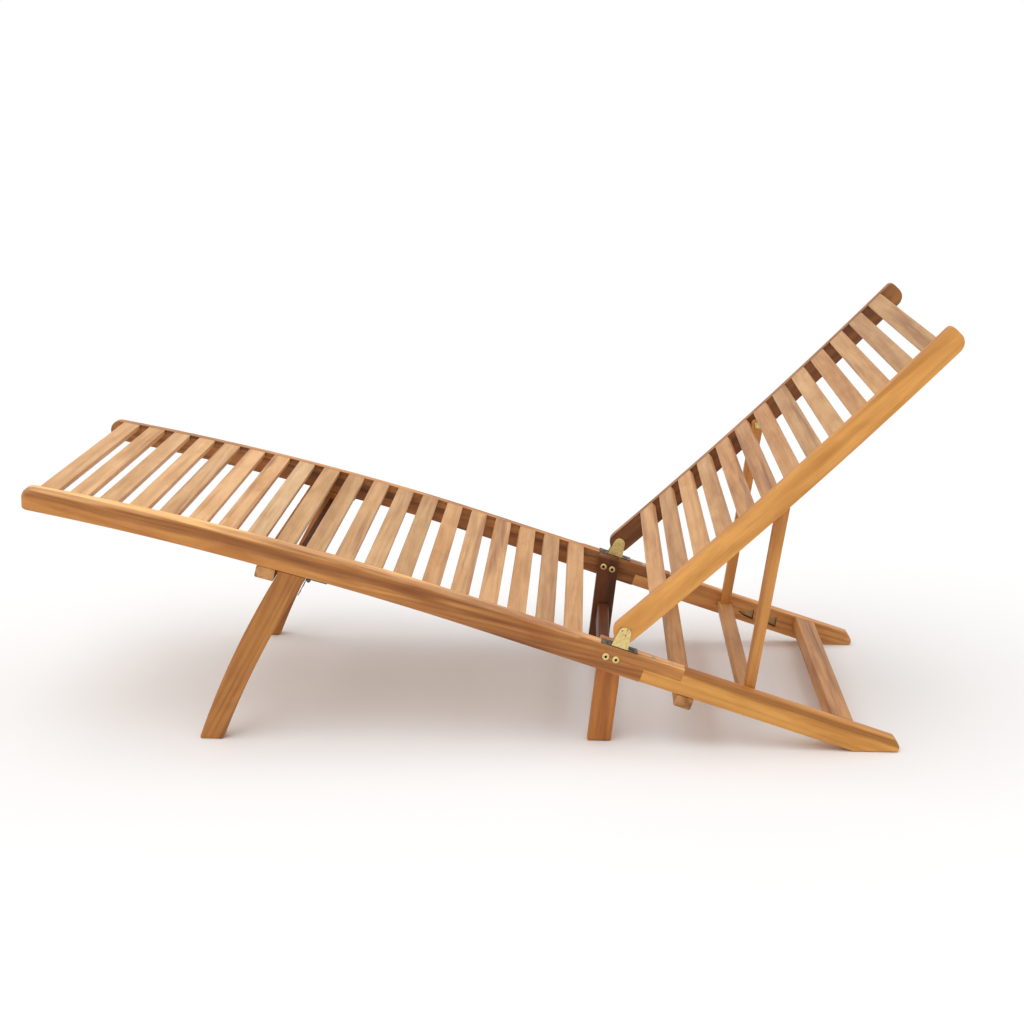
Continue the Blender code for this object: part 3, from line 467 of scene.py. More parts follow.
@dataclass(frozen=True)
class WoodFinish:
    """Colours and gloss of one kind of board; crown is a painted light tint on its upward
    faces and on its painted lit end.
    """

    light: Colour
    dark: Colour
    streak: Colour
    figure: float = 0.5
    streaks: float = 0.3
    # crown is painted light: a tint laid on the upward faces for how the lamps fall on them.
    crown: Colour = PLAIN
    dark_band: Optional[DarkBand] = None
    # Start of a painted lit end of the board, as a point in the side view.
    painted_lit_end: Optional[Pair] = None
    roughness: Pair = (0.42, 0.60)
    bump: float = 0.12
    relief: float = 0.0008
    specular: float = 0.35

    def material(self, shop: Workshop, name: str, way: Grain, angle: float, seed: int,
                 bright: float = 0.0, warm: float = 0.0) -> bpy.types.Material:
        """Make the material of one piece.

        Args:
            shop: Shared node groups.
            name: Name of the material.
            way: Which way the grain runs.
            angle: Slope of the grain in the side view, positive going up toward the head.
            seed: Number that moves the pattern.
            bright: Largest change of brightness from piece to piece.
            warm: Largest change of warmth from piece to piece.

        Returns:
            The material.
        """
        material = bpy.data.materials.new(name)
        material.use_nodes = True
        desk = NodeDesk(material.node_tree)
        shader = material.node_tree.nodes["Principled BSDF"]
        spot = desk.add("ShaderNodeTexCoord")
        turn = desk.add("ShaderNodeMapping", vector_type="POINT")
        if way is Grain.ACROSS:
            turn.inputs["Rotation"].default_value = (0.0, 0.0, -math.pi / 2)
        else:
            turn.inputs["Rotation"].default_value = (0.0, angle, 0.0)
        turn.inputs["Location"].default_value = (
            3.1 * spread(seed, 1.0), 0.9 + 0.35 * spread(seed, 2.0),
            0.7 + 0.30 * spread(seed, 3.0))
        desk.join(spot.outputs["Object"], turn.inputs["Vector"])
        grain = desk.add("ShaderNodeGroup", node_tree=shop.grain)
        desk.join(turn.outputs["Vector"], grain.inputs["Place"])
        factor = 1.0 + bright * spread(seed, 4.0)
        warmth = warm * spread(seed, 5.0)
        grain.inputs["Light"].default_value = (*scaled(self.light, factor, warmth), 1.0)
        grain.inputs["Dark"].default_value = (*scaled(self.dark, factor, warmth), 1.0)
        grain.inputs["Streak"].default_value = (*self.streak, 1.0)
        grain.inputs["Figure"].default_value = self.figure
        grain.inputs["Streaks"].default_value = max(
            0.0, self.streaks * (1.0 + 0.8 * spread(seed, 6.0)))
        grain.inputs["Painted light tint"].default_value = (*self.crown, 1.0)
        # Painted light: upward faces, and the part past the painted lit end, take the crown
        # tint.
        if self.crown != PLAIN:
            facing = desk.add("ShaderNodeSeparateXYZ")
            desk.join(spot.outputs["Normal"], facing.inputs["Vector"])
            upward = desk.remap(facing.outputs["Z"], 0.10, 0.60)
            if self.painted_lit_end is not None:
                upward = desk.math("MAXIMUM", upward, self.painted_lit_end_mask(desk, turn, angle))
            desk.join(upward, grain.inputs["Painted light share"])
        if self.dark_band is not None:
            self.set_dark_band(grain, turn, angle)
        desk.join(grain.outputs["Colour"], shader.inputs["Base Color"])
        gloss = desk.remap(grain.outputs["Gloss"], 0.0, 1.0, *self.roughness)
        desk.join(gloss, shader.inputs["Roughness"])
        bump = desk.add("ShaderNodeBump")
        bump.inputs["Strength"].default_value = self.bump
        bump.inputs["Distance"].default_value = self.relief
        desk.join(grain.outputs["Height"], bump.inputs["Height"])
        desk.join(bump.outputs["Normal"], shader.inputs["Normal"])
        shader.inputs["Specular IOR Level"].default_value = self.specular
        return material

    def painted_lit_end_mask(self, desk: NodeDesk, turn: bpy.types.Node,
                 angle: float) -> bpy.types.NodeSocket:
        """Mask the part of the board past the start of its painted lit end, where painted
        light brightens it.

        Args:
            desk: Adds and joins the nodes.
            turn: Mapping node of the grain.
            angle: Slope of the grain.

        Returns:
            The mask's socket.
        """
        x, z = self.painted_lit_end
        start = x * math.cos(angle) + z * math.sin(angle)
        start += turn.inputs["Location"].default_value[0]
        ends = desk.add("ShaderNodeSeparateXYZ")
        desk.join(turn.outputs["Vector"], ends.inputs["Vector"])
        return desk.remap(ends.outputs["X"], start - 0.02, start + 0.02, 0.0, 0.8)

    def set_dark_band(self, grain: bpy.types.Node, turn: bpy.types.Node, angle: float) -> None:
        """Lay the dark band along the board.

        Args:
            grain: Group node of the grain.
            turn: Mapping node of the grain.
            angle: Slope of the grain.
        """
        x, z = self.dark_band.spot
        level = z * math.cos(angle) - x * math.sin(angle)
        grain.inputs["DarkBand"].default_value = self.dark_band.share
        grain.inputs["Heart width"].default_value = self.dark_band.width
        grain.inputs["Heart level"].default_value = (
            level + turn.inputs["Location"].default_value[2])


@dataclass(frozen=True)
class MetalFinish:
    """Clean and tarnished colour of one metal."""

    clean: Colour
    tarnish: Colour
    roughness: Pair = (0.28, 0.45)
    bump: float = 0.05
    relief: float = 0.0003

    def material(self, shop: Workshop, name: str) -> bpy.types.Material:
        """Make the material.

        Args:
            shop: Shared node groups.
            name: Name of the material.

        Returns:
            The material.
        """
        material = bpy.data.materials.new(name)
        material.use_nodes = True
        desk = NodeDesk(material.node_tree)
        shader = material.node_tree.nodes["Principled BSDF"]
        spot = desk.add("ShaderNodeTexCoord")
        wear = desk.add("ShaderNodeGroup", node_tree=shop.wear)
        desk.join(spot.outputs["Object"], wear.inputs["Place"])
        wear.inputs["Clean"].default_value = (*self.clean, 1.0)
        wear.inputs["Tarnish"].default_value = (*self.tarnish, 1.0)
        desk.join(wear.outputs["Colour"], shader.inputs["Base Color"])
        desk.join(desk.remap(wear.outputs["Gloss"], 0.3, 0.7, *self.roughness),
                  shader.inputs["Roughness"])
        bump = desk.add("ShaderNodeBump")
        bump.inputs["Strength"].default_value = self.bump
        bump.inputs["Distance"].default_value = self.relief
        desk.join(wear.outputs["Height"], bump.inputs["Height"])
        desk.join(bump.outputs["Normal"], shader.inputs["Normal"])
        shader.inputs["Metallic"].default_value = 1.0
        return material


SLAT_WOOD = WoodFinish(
    srgb("D8A974"), srgb("B7834C"), srgb("864F2F"), 0.60, 0.50)
NOSE_SLAT_WOOD = WoodFinish(
    srgb("E7BA87"), srgb("C49058"), srgb("8F5736"), 0.60, 0.55)
BACK_SLAT_WOOD = WoodFinish(
    srgb("D9A76F"), srgb("B37B46"), srgb("7C4828"), 0.60, 0.50)
# The crown tint of the front rail paints a highlight on its upward faces.
FRONT_RAIL_WOOD = WoodFinish(
    srgb("E29D54"), srgb("B67134"), srgb("7E4321"), 0.65, 0.60,
    (1.50, 1.94, 2.90), DarkBand((-0.508, 0.4095), 0.010, 0.60))
# Far front rail: a darker copy of the front rail's wood, painted shade, with a crown tint that
# paints a highlight on its upward faces.
FAR_RAIL_SHADED_WOOD = WoodFinish(
    srgb("C68449"), srgb("8D552B"), srgb("59321A"), 0.75, 0.75, (1.36, 1.50, 1.66))
# The crown tint of the rear rail paints its upward faces a little darker, as painted shade.
REAR_RAIL_WOOD = WoodFinish(
    srgb("F8B65F"), srgb("D08D41"), srgb("935827"), 0.60, 0.55,
    (1.0, 0.96, 0.92), DarkBand((0.498, 0.1138), 0.008, 0.85))
# Far rear rail: a darker copy of the rear rail's wood, painted shade, with a crown tint that
# paints a highlight on its upward faces.
FAR_REAR_SHADED_WOOD = WoodFinish(
    srgb("F2AE66"), srgb("B1713B"), srgb("744626"), 0.70, 0.70, (1.14, 1.15, 1.17))
# Painted highlight: the light wood laid on the floors of the rack pockets.
POCKET_LIT_WOOD = WoodFinish(srgb("FFE0A0"), srgb("F5C070"), srgb("CF8F4B"), 0.50, 0.30)
# The crown tint of the near stile paints its upward faces darker, as painted shade.
STILE_WOOD = WoodFinish(
    srgb("FDB864"), srgb("D28D40"), srgb("AA672C"), 0.80, 0.35, (0.80, 0.76, 0.70))
# Far stile: a darker copy of the stile's wood, painted shade, with a crown tint that paints a
# highlight on its upward faces and on its painted lit upper end.
FAR_STILE_SHADED_WOOD = WoodFinish(
    srgb("A0683A"), srgb("64391B"), srgb("41230F"), 0.60, 0.55, (1.6, 1.75, 1.9),
    painted_lit_end=(0.826, 0.776))
LEG_WOOD = WoodFinish(
    srgb("CE8A45"), srgb("9F632E"), srgb("71401D"), 0.65, 0.55)
REAR_LEG_WOOD = WoodFinish(
    srgb("D78A41"), srgb("A15F2A"), srgb("6F3C19"), 0.60, 0.55)
# Painted shade: the rear legs' wood darkened, for the far rear leg, the stretcher and the
# walls of the rack pockets, which stand in shade.
SHADED_LEG_WOOD = WoodFinish(
    srgb("744019"), srgb("4A250C"), srgb("2E1406"), 0.60, 0.60)
# Painted shade: the front legs' crossbar darkened for the shade under the slats.
SHADED_LEG_BAR_WOOD = WoodFinish(
    srgb("71381A"), srgb("48200D"), srgb("2D1206"), 0.60, 0.60)
STRUT_WOOD = WoodFinish(
    srgb("E09E53"), srgb("B07236"), srgb("7D4A22"), 0.60, 0.45)
BAR_WOOD = WoodFinish(
    srgb("DBA063"), srgb("AE7541"), srgb("7C4927"), 0.60, 0.50)
BRASS = MetalFinish(srgb("E0C98A"), srgb("BFA566"), (0.34, 0.50))
STEEL = MetalFinish(srgb("D2CDC0"), srgb("9C9484"))
DARK_STEEL = MetalFinish(srgb("6A5F52"), srgb("3A332A"), (0.35, 0.55))
# Near-black steel; on the faces inside the bolt sockets it is painted shade.
SOCKET_STEEL = MetalFinish(srgb("3A2C20"), srgb("1E1610"), (0.50, 0.70))


def finished(shape: bmesh.types.BMesh, name: str, material: bpy.types.Material, body: str,
             smooth: float = 35.0) -> bpy.types.Object:
    """Turn a bmesh into a finished piece that rides on a body.

    Args:
        shape: The mesh, in place.
        name: Name of the piece.
        material: Its material.
        body: Body that it rides on.
        smooth: Largest angle, in degrees, that is shaded smooth.

    Returns:
        The piece.
    """
    bmesh.ops.remove_doubles(shape, verts=shape.verts, dist=5e-6)
    bmesh.ops.recalc_face_normals(shape, faces=shape.faces)
    for face in shape.faces:
        face.smooth = True
    for edge in shape.edges:
        sharp = len(edge.link_faces) != 2 or edge.calc_face_angle(0.0) > math.radians(smooth)
        edge.smooth = not sharp
    mesh = bpy.data.meshes.new(name)
    shape.to_mesh(mesh)
    shape.free()
    mesh.materials.append(material)
    piece = bpy.data.objects.new(name, mesh)
    bpy.context.scene.collection.objects.link(piece)
    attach(piece, body)
    return piece


def aimed(origin: Vector, outward: Vector, along: Vector) -> Matrix:
    """Matrix that puts local Z on a direction.

    Args:
        origin: Where the local origin goes.
        outward: Direction of local Z.
        along: Rough direction of local X.

    Returns:
        The matrix.
    """
    z = outward.normalized()
    y = z.cross(along).normalized()
    x = y.cross(z)
    matrix = Matrix((x, y, z)).transposed().to_4x4()
    matrix.translation = origin
    return matrix


@dataclass
class Fastener:
    """Head of a screw or bolt with its drive recess."""

    head_radius: float
    height: float
    recess: Recess
    recess_radius: float
    depth: float = 0.0015
    sides: int = 24
    crown: float = 0.80

    def recess_point(self, index: int) -> Vector:
        """Place one vertex of the recess outline.

        Args:
            index: Number of the vertex round the head.

        Returns:
            Its X and Y.
        """
        angle = 2 * math.pi * index / self.sides
        if self.recess is Recess.HEX:
            sector = math.pi / 3
            off = (angle % sector) - sector / 2
            reach = self.recess_radius * math.cos(sector / 2) / math.cos(off)
            return Vector((math.cos(angle), math.sin(angle))) * reach
        arm = 0.20 * self.recess_radius
        reach = self.recess_radius
        corner = (
            (reach, 0.0), (0.96 * reach, arm), (0.5 * reach, arm), (arm, arm),
            (arm, 0.5 * reach), (arm, 0.96 * reach))
        turn = Matrix.Rotation(math.pi / 2 * (index // 6), 2)
        return turn @ Vector(corner[index % 6])

    def shape(self, matrix: Matrix) -> bmesh.types.BMesh:
        """Model the head with its underside on the local XY plane.

        Args:
            matrix: Where the head goes.

        Returns:
            The mesh, in place.
        """
        head = bmesh.new()
        bmesh.ops.create_circle(
            head, cap_ends=True, segments=self.sides, radius=self.head_radius)
        edges = list(head.edges)
        rim = self.head_radius
        levels = (
            (rim, 0.45 * self.height), (rim * 0.95, 0.80 * self.height),
            (rim * self.crown, self.height))
        for radius, height in levels:
            edges, verts = self.raised(head, edges)
            for vertex in verts:
                flat = Vector((vertex.co.x, vertex.co.y)).normalized() * radius
                vertex.co = Vector((flat.x, flat.y, height))
        edges, verts = self.raised(head, edges)
        for vertex in verts:
            angle = math.atan2(vertex.co.y, vertex.co.x) % (2 * math.pi)
            index = int(round(angle * self.sides / (2 * math.pi))) % self.sides
            spot = self.recess_point(index)
            vertex.co = Vector((spot.x, spot.y, self.height))
        edges, verts = self.raised(head, edges)
        for vertex in verts:
            vertex.co.z = self.height - self.depth
        bmesh.ops.edgeloop_fill(head, edges=edges)
        bmesh.ops.transform(head, matrix=matrix, verts=head.verts)
        return head

    def raised(self, head: bmesh.types.BMesh, edges: Sequence[bmesh.types.BMEdge]
               ) -> Tuple[List[bmesh.types.BMEdge], List[bmesh.types.BMVert]]:
        """Extrude a loop of edges.

        Args:
            head: The mesh.
            edges: The loop.

        Returns:
            Edges and vertices of the new loop.
        """
        grown = bmesh.ops.extrude_edge_only(head, edges=edges)["geom"]
        new_edges = [item for item in grown if isinstance(item, bmesh.types.BMEdge)]
        new_verts = [item for item in grown if isinstance(item, bmesh.types.BMVert)]
        return new_edges, new_verts


def plate(size: Triple, corner: float, matrix: Matrix,
          edge: float = 0.0003) -> bmesh.types.BMesh:
    """Model a thin plate with rounded corners, its underside on the local XY plane.

    Args:
        size: Length, width and thickness.
        corner: Radius of its corners.
        matrix: Where it goes.
        edge: Rounding of its rims.

    Returns:
        The mesh, in place.
    """
    shape = bmesh.new()
    bmesh.ops.create_cube(shape, size=1.0, matrix=Matrix.Translation((0.0, 0.0, 0.5)))
    bmesh.ops.scale(shape, vec=size, verts=shape.verts)
    upright = [e for e in shape.edges if abs(e.verts[0].co.z - e.verts[1].co.z) > 1e-6]
    bmesh.ops.bevel(
        shape, geom=upright, offset=corner, offset_type="OFFSET", segments=5, profile=0.5,
        affect="EDGES", material=-1)
    rims = [e for e in shape.edges if abs(e.verts[0].co.z - e.verts[1].co.z) < 1e-6]
    bmesh.ops.bevel(
        shape, geom=rims, offset=edge, offset_type="OFFSET", segments=2, profile=0.5,
        affect="EDGES", material=-1)
    bmesh.ops.transform(shape, matrix=matrix, verts=shape.verts)
    return shape


@dataclass
class Boards:
    """Dresses the wooden nodes of the frame."""

    frame: Dict[str, object]
    shop: Workshop
    count: int = 0
    done: List[str] = field(default_factory=list)

    def soften(self, node: bpy.types.Object) -> None:
        """Join a node's loose triangles by a modifier and shade its rounded edges smooth.

        Args:
            node: The node's object.
        """
        for face in node.data.polygons:
            face.use_smooth = True
        weld = node.modifiers.new("joined", "WELD")
        weld.merge_threshold = 1e-5
        shade = node.modifiers.new("shading", "WEIGHTED_NORMAL")
        shade.mode = "FACE_AREA"
        shade.weight = 80
        shade.keep_sharp = False

    def dress(self, name: str, finish: WoodFinish, way: Grain, angle: float = 0.0,
              bright: float = 0.06, warm: float = 0.05) -> None:
        """Give one node its own board.

        Args:
            name: Name of the node.
            finish: Kind of wood.
            way: Which way the grain runs.
            angle: Slope of the grain in the side view.
            bright: Change of brightness from piece to piece.
            warm: Change of warmth from piece to piece.
        """
        self.count += 1
        node = self.frame["nodes"][name]
        material = finish.material(
            self.shop, name + "_wood", way, angle, self.count, bright, warm)
        self.paint(node, material)
        self.done.append(name)
        LOG.info("dressed %s", name)

    def paint(self, node: bpy.types.Object, material: bpy.types.Material) -> None:
        """Put one material on a node.

        Args:
            node: The node's object.
            material: The material.
        """
        node.data.materials.clear()
        node.data.materials.append(material)
        self.soften(node)

    def split(self, name: str, other: bpy.types.Material,
              test: Callable[[Vector, Vector], bool]) -> None:
        """Give the faces of a node that pass a test another material.

        Args:
            name: Name of the node.
            other: The other material.
            test: Tells by a face's centre and normal whether it gets the other material.
        """
        node = self.frame["nodes"][name]
        node.data.materials.append(other)
        for face in node.data.polygons:
            if test(face.center, face.normal):
                face.material_index = len(node.data.materials) - 1

    def metal(self, name: str, material: bpy.types.Material) -> None:
        """Give one node a metal finish.

        Args:
            name: Name of the node.
            material: The finish.
        """
        self.paint(self.frame["nodes"][name], material)
        self.done.append(name)
        LOG.info("dressed %s", name)


@dataclass
class SeatFrame:
    """Rails, seat slats, battens and rear legs."""

    boards: Boards
    slats: int = 19
    nose_slats_from: int = 11
    slat_variety: Pair = (0.11, 0.12)
    bend_turn: float = 0.07
    leg_slope: float = math.radians(83.9)
    pocket_x: Pair = (0.48, 0.78)
    pocket_y: Pair = (0.2745, 0.2955)
    pocket_drop: Pair = (0.0065, 0.0420)
    pocket_seeds: Tuple[int, int] = (7, 8)
    lap_screws: Pair = (-0.069, -0.105)
    screw_sink: float = 0.0002
    screw_turn: Vector = field(default_factory=lambda: Vector((1.0, 0.3, 0.0)))
    screw: Fastener = field(default_factory=lambda: Fastener(
        0.0045, 0.0012, Recess.CROSS, 0.0024, 0.0008))

    def dress(self) -> None:
        """Dress every board of the seat."""
        slope = -RAILS.slope
        for side, _ in SIDES:
            near = side == "near"
            # The far side takes darker copies of the rail woods: painted shade.
            front = FRONT_RAIL_WOOD if near else FAR_RAIL_SHADED_WOOD
            self.boards.dress(
                "front_rail_" + side, front, Grain.SLOPE, slope + self.bend_turn)
            rear = REAR_RAIL_WOOD if near else FAR_REAR_SHADED_WOOD
            self.boards.dress("rear_rail_" + side, rear, Grain.SLOPE, slope)
            self.dress_pockets("rear_rail_" + side)
            # The far rear leg takes the darkened wood: painted shade.
            leg = REAR_LEG_WOOD if near else SHADED_LEG_WOOD
            self.boards.dress("rear_leg_" + side, leg, Grain.SLOPE, self.leg_slope)
        for index in range(self.slats):
            wood = SLAT_WOOD if index < self.nose_slats_from else NOSE_SLAT_WOOD
            self.boards.dress(
                "seat_slat_%02d" % (index + 1), wood, Grain.ACROSS, 0.0, *self.slat_variety)
        for name in ("stop_batten", "lap_crossbar", "end_crossbar"):
            self.boards.dress(name, BAR_WOOD, Grain.ACROSS)
        # The stretcher takes the darkened wood: painted shade.
        self.boards.dress("rear_stretcher", SHADED_LEG_WOOD, Grain.ACROSS)

    def dress_pockets(self, name: str) -> None:
        """Paint the rack pockets of one rear rail: a painted highlight on their floors and
        painted shade on their walls.

        Args:
            name: Name of the rail.
        """
        shop = self.boards.shop
        floor_seed, wall_seed = self.pocket_seeds
        # Pocket floors get a painted highlight and pocket walls painted shade.
        lit_pocket_floor = POCKET_LIT_WOOD.material(
            shop, name + "_pocket", Grain.SLOPE, -RAILS.slope, floor_seed)
        shaded_pocket_wall = SHADED_LEG_WOOD.material(
            shop, name + "_wall", Grain.SLOPE, -RAILS.slope, wall_seed)
        self.boards.split(
            name, lit_pocket_floor, lambda spot, normal: self.in_pocket(spot) and abs(normal.y) > 0.5)
        self.boards.split(
            name, shaded_pocket_wall, lambda spot, normal: self.in_pocket(spot) and abs(normal.y) <= 0.5)

    def in_pocket(self, spot: Vector) -> bool:
        """Tell whether a point of a rear rail lies inside one of its rack pockets.

        Args:
            spot: The point.

        Returns:
            True inside a pocket.
        """
        return (
            self.pocket_x[0] < spot.x < self.pocket_x[1]
            and self.pocket_y[0] < abs(spot.y) < self.pocket_y[1]
            and self.pocket_drop[0] < RAILS.drop(spot) < self.pocket_drop[1])

    def add_screws(self, metal: bpy.types.Material) -> None:
        """Set the screws that hold each half lap."""
        for side, sign in SIDES:
            for number, t in enumerate(self.lap_screws, 1):
                spot = RAILS.point(t, self.screw_sink)
                origin = Vector((spot.x, sign * RAIL_CENTRE, spot.y))
                matrix = aimed(origin, RAILS.normal(t), self.screw_turn)
                finished(
                    self.screw.shape(matrix), "lap_screw_%s_%d" % (side, number), metal,
                    "base")
        LOG.info("set the lap screws")


@dataclass
class Backrest:
    """Stiles and back slats."""

    boards: Boards
    slats: int = 13
    slat_variety: Pair = (0.12, 0.12)
    stile_slope: float = math.radians(44.5)

    def dress(self) -> None:
        """Dress the stiles and the slats."""
        for side, _ in SIDES:
            # The far stile takes the darker copy: painted shade.
            wood = STILE_WOOD if side == "near" else FAR_STILE_SHADED_WOOD
            self.boards.dress("back_stile_" + side, wood, Grain.SLOPE, self.stile_slope)
        for index in range(self.slats):
            self.boards.dress(
                "back_slat_%02d" % (index + 1), BACK_SLAT_WOOD, Grain.ACROSS, 0.0,
                *self.slat_variety)


@dataclass
class Prop:
    """Struts and bar of the prop."""

    boards: Boards
    strut_slope: float = math.radians(82.5)

    def dress(self) -> None:
        """Dress the struts and the bar."""
        for side, _ in SIDES:
            self.boards.dress("prop_strut_" + side, STRUT_WOOD, Grain.SLOPE, self.strut_slope)
        self.boards.dress("prop_bar", BAR_WOOD, Grain.ACROSS)


@dataclass
class FrontLegs:
    """Folding front legs, their bar and the leaves of their hinges."""

    boards: Boards
    leg_slope: float = math.radians(62.0)
    barrel: Pair = (-0.3225881, 0.3259534)
    lean: Pair = (0.4675, 0.8840)
    leaf: Triple = (0.035, 0.022, 0.0014)
    leaf_corner: float = 0.002
    leaf_gap: float = 0.002
    leaf_back: float = 0.0054
    rail_leaf: Pair = (0.5785, 0.0533)
    holes: Tuple[Pair, ...] = ((-0.009, 0.006), (0.009, 0.006), (0.0, -0.006))
    screw: Fastener = field(default_factory=lambda: Fastener(
        0.0030, 0.0007, Recess.CROSS, 0.0017, 0.0005))

    def dress(self) -> None:
        """Dress the legs and the bar."""
        for side, _ in SIDES:
            self.boards.dress("front_leg_" + side, LEG_WOOD, Grain.SLOPE, self.leg_slope)
        # The crossbar's dark wood is painted shade.
        self.boards.dress("leg_crossbar", SHADED_LEG_BAR_WOOD, Grain.ACROSS)

    def add_leaves(self, metal: bpy.types.Material, screws: bpy.types.Material) -> None:
        """Add the leaf on each leg, and the screws of both leaves.

        Args:
            metal: Finish of the leaves.
            screws: Finish of the screws.
        """
        down = Vector((-self.lean[0], 0.0, -self.lean[1]))
        outward = Vector((self.lean[1], 0.0, -self.lean[0]))
        for side, sign in SIDES:
            centre = Vector((self.barrel[0], sign * RAIL_CENTRE, self.barrel[1]))
            origin = centre + down * (self.leaf[0] / 2 + self.leaf_gap)
            origin -= outward * self.leaf_back
            finished(
                plate(self.leaf, self.leaf_corner, aimed(origin, outward, down)),
                "leg_leaf_" + side, metal, "front_leg_frame")
            for number, (reach, across) in enumerate(self.holes, 1):
                spot = origin + outward * self.leaf[2] + down * reach
                spot.y += across * sign
                finished(
                    self.screw.shape(aimed(spot, outward, down)),
                    "leg_leaf_screw_%s_%d" % (side, number), screws, "front_leg_frame")
                t = self.rail_leaf[0] - reach
                under = RAILS.point(t, self.rail_leaf[1])
                spot = Vector((under.x, sign * RAIL_CENTRE + across, under.y))
                finished(
                    self.screw.shape(aimed(spot, -RAILS.normal(t), TOWARD_HEAD)),
                    "rail_leaf_screw_%s_%d" % (side, number), screws, "base")
        LOG.info("added the leg leaves")


@dataclass
class HingeBrackets:
    """Brass brackets of the backrest hinge, each on a dark strip."""

    boards: Boards
    hinge: Pair = (0.2738734, 0.2335)
    strip_top: float = 0.0026
    strip_screws: Pair = (0.026, -0.026)
    screw_lift: float = 0.0023
    screw_turn: Vector = field(default_factory=lambda: Vector((1.0, 0.4, 0.0)))
    marks: Tuple[float, ...] = (50.0, 150.0, 275.0)
    mark_reach: float = 0.0066
    outer_face: float = 0.2993
    screw: Fastener = field(default_factory=lambda: Fastener(
        0.0042, 0.0012, Recess.CROSS, 0.0023, 0.0008))
    rivet: Fastener = field(default_factory=lambda: Fastener(
        0.0012, 0.0004, Recess.HEX, 0.0005, 0.0002, 24, 0.6))

    def dress(self, brass: bpy.types.Material, strip: bpy.types.Material) -> None:
        """Dress the brackets.

        Args:
            brass: Finish of the ears and the pin.
            strip: Finish of the base strip.
        """
        for side, _ in SIDES:
            self.boards.metal("hinge_bracket_" + side, brass)
            self.boards.split(
                "hinge_bracket_" + side, strip,
                lambda spot, _: -RAILS.drop(spot) < self.strip_top)

    def add_details(self, screws: bpy.types.Material, marks: bpy.types.Material) -> None:
        """Add the screws of the strips and the marks round each pin.

        Args:
            screws: Finish of the screws.
            marks: Finish of the marks.
        """
        for side, sign in SIDES:
            for number, t in enumerate(self.strip_screws, 1):
                spot = RAILS.point(t, -self.screw_lift)
                origin = Vector((spot.x, sign * RAIL_CENTRE, spot.y))
                finished(
                    self.screw.shape(aimed(origin, RAILS.normal(t), self.screw_turn)),
                    "bracket_screw_%s_%d" % (side, number), screws, "base")
            for number, degrees in enumerate(self.marks, 1):
                angle = math.radians(degrees)
                origin = Vector((
                    self.hinge[0] + self.mark_reach * math.cos(angle), sign * self.outer_face,
                    self.hinge[1] + self.mark_reach * math.sin(angle)))
                finished(
                    self.rivet.shape(aimed(origin, Vector((0.0, sign, 0.0)), TOWARD_HEAD)),
                    "bracket_mark_%s_%d" % (side, number), marks, "base")
        LOG.info("added the bracket details")


@dataclass
class Hardware:
    """Leg hinges, pivots of the prop, and the bolts of the rear legs."""

    boards: Boards
    bolts: Pair = (0.019, -0.001)
    bolt_drop: float = 0.023
    socket_y: Pair = (0.2985, 0.30175)
    socket_radius: float = 0.0029
    inner_end: float = 0.2479
    nut_recess: Fastener = field(default_factory=lambda: Fastener(
        0.0034, 0.0003, Recess.HEX, 0.0022, 0.0002))

    def dress(self, brass: bpy.types.Material, dark: bpy.types.Material,
              socket: bpy.types.Material) -> None:
        """Dress the metal and add the recess of each sleeve nut.

        Args:
            brass: Finish of the heads.
            dark: Finish of the leg hinges.
            socket: Near-black steel for the sleeve nut recesses, and painted shade inside the
                sockets.
        """
        for side, sign in SIDES:
            self.boards.metal("leg_hinge_" + side, dark)
            self.boards.metal("prop_pivot_" + side, brass)
            for number, t in enumerate(self.bolts, 1):
                name = "rear_leg_bolt_%s_%d" % (side, number)
                axis = RAILS.point(t, self.bolt_drop)
                self.boards.metal(name, brass)
                # The faces inside the socket get near-black steel: painted shade in the
                # recess.
                self.boards.split(
                    name, socket, lambda spot, _, axis=axis: self.in_socket(spot, axis))
                end = Vector((axis.x, sign * self.inner_end, axis.y))
                matrix = aimed(end, Vector((0.0, -sign, 0.0)), TOWARD_HEAD)
                finished(
                    self.nut_recess.shape(matrix),
                    "sleeve_nut_recess_%s_%d" % (side, number), socket, "base")

    def in_socket(self, spot: Vector, axis: Vector) -> bool:
        """Tell whether a point of a bolt lies inside the socket of its head.

        Args:
            spot: The point.
            axis: X and Z of the bolt's axis.

        Returns:
            True inside the socket.
        """
        reach = math.hypot(spot.x - axis.x, spot.z - axis.y)
        return self.socket_y[0] < abs(spot.y) < self.socket_y[1] and reach < self.socket_radius


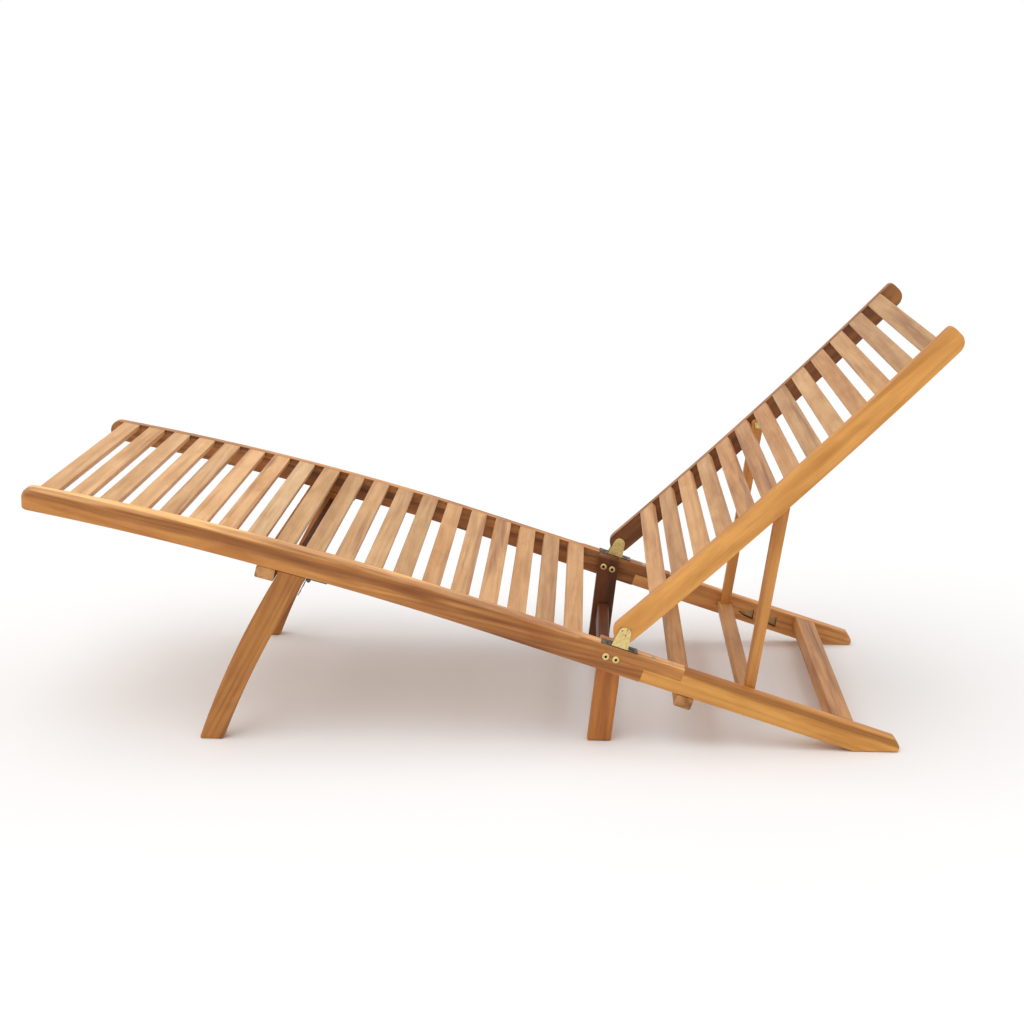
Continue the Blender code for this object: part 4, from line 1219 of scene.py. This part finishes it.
@dataclass
class Studio:
    """Floor, lights and camera."""

    eye: Triple = (0.1954, -3.0418, 1.2523)
    pitch: float = 15.98
    yaw: float = 2.81
    focal: float = 1550.0
    frame_width: float = 1024.0
    sensor: float = 36.0
    floor_level: float = -0.0005
    floor_size: float = 30.0
    floor_colour: Colour = (0.96, 0.96, 0.96)
    surroundings: float = 0.40
    lights: Tuple[Tuple[str, Triple, float, float], ...] = (
        ("key", (-0.30, -0.20, 0.93), 70.0, 0.42),
        ("top", (0.35, 0.12, 0.93), 80.0, 0.24))

    def camera(self) -> None:
        """Set the camera at the photograph's viewing angle."""
        data = bpy.data.cameras.new("camera")
        data.sensor_width = self.sensor
        data.lens = self.sensor * self.focal / self.frame_width
        data.clip_end = 100.0
        camera = bpy.data.objects.new("camera", data)
        camera.location = self.eye
        camera.rotation_euler = (math.radians(90.0 - self.pitch), 0.0, math.radians(self.yaw))
        bpy.context.scene.collection.objects.link(camera)
        bpy.context.scene.camera = camera

    def sky_light(self, name: str, toward: Triple, angle: float, level: float) -> None:
        """Add one wide, distant and even light.

        Args:
            name: Name of the light.
            toward: Direction that points at the light.
            angle: Width of the light's disc, in degrees.
            level: How bright it makes a white floor.
        """
        way = Vector(toward).normalized()
        data = bpy.data.lights.new(name, "SUN")
        data.angle = math.radians(angle)
        data.energy = level * math.pi / way.z
        lamp = bpy.data.objects.new(name, data)
        lamp.location = way * 4.0
        lamp.rotation_euler = way.to_track_quat("Z", "Y").to_euler()
        bpy.context.scene.collection.objects.link(lamp)

    def floor(self) -> None:
        """Lay the pale floor."""
        shape = bmesh.new()
        bmesh.ops.create_grid(shape, x_segments=4, y_segments=4, size=self.floor_size)
        bmesh.ops.translate(shape, verts=shape.verts, vec=(0.0, 0.0, self.floor_level))
        mesh = bpy.data.meshes.new("floor")
        shape.to_mesh(mesh)
        shape.free()
        floor = bpy.data.objects.new("floor", mesh)
        bpy.context.scene.collection.objects.link(floor)
        material = bpy.data.materials.new("floor_white")
        material.use_nodes = True
        shader = material.node_tree.nodes["Principled BSDF"]
        shader.inputs["Base Color"].default_value = (*self.floor_colour, 1.0)
        shader.inputs["Roughness"].default_value = 1.0
        shader.inputs["Specular IOR Level"].default_value = 0.0
        mesh.materials.append(material)

    def background(self, desk: NodeDesk, strength: float) -> bpy.types.NodeSocket:
        """Add one white background.

        Args:
            desk: Adds and joins the nodes.
            strength: Its strength.

        Returns:
            The background's socket.
        """
        node = desk.add("ShaderNodeBackground")
        node.inputs["Color"].default_value = (*PLAIN, 1.0)
        node.inputs["Strength"].default_value = strength
        return node.outputs[0]

    def world(self) -> None:
        """Make surroundings that look white and light the object more softly."""
        world = bpy.data.worlds.new("studio")
        bpy.context.scene.world = world
        world.use_nodes = True
        desk = NodeDesk(world.node_tree)
        for node in list(world.node_tree.nodes):
            world.node_tree.nodes.remove(node)
        out = desk.add("ShaderNodeOutputWorld")
        path = desk.add("ShaderNodeLightPath")
        direct = desk.math(
            "MAXIMUM", path.outputs["Is Camera Ray"], path.outputs["Is Glossy Ray"])
        direct = desk.math("MAXIMUM", direct, path.outputs["Is Transmission Ray"])
        both = desk.add("ShaderNodeMixShader")
        desk.join(direct, both.inputs[0])
        desk.join(self.background(desk, self.surroundings), both.inputs[1])
        desk.join(self.background(desk, 1.0), both.inputs[2])
        desk.join(both.outputs[0], out.inputs["Surface"])

    def build(self) -> None:
        """Set up the whole studio."""
        self.camera()
        self.floor()
        self.world()
        for light in self.lights:
            self.sky_light(*light)
        bpy.context.scene.view_settings.view_transform = "Standard"


def main() -> None:
    """Build the lounger's looks in order."""
    logging.basicConfig(level=logging.INFO, format="%(name)s: %(message)s")
    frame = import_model()
    shop = Workshop(build_grain_group(), build_wear_group())
    boards = Boards(frame, shop)
    brass = BRASS.material(shop, "brass")
    steel = STEEL.material(shop, "bright_steel")
    dark = DARK_STEEL.material(shop, "dark_steel")
    socket = SOCKET_STEEL.material(shop, "socket_steel")
    seat = SeatFrame(boards)
    seat.dress()
    seat.add_screws(steel)
    Backrest(boards).dress()
    Prop(boards).dress()
    legs = FrontLegs(boards)
    legs.dress()
    legs.add_leaves(dark, dark)
    brackets = HingeBrackets(boards)
    brackets.dress(brass, dark)
    brackets.add_details(dark, socket)
    Hardware(boards).dress(brass, dark, socket)
    Studio().build()
    missed = sorted(set(frame["nodes"]) - set(boards.done))
    if missed:
        LOG.warning("nodes without a finish: %s", missed)


if __name__ == "__main__":
    main()
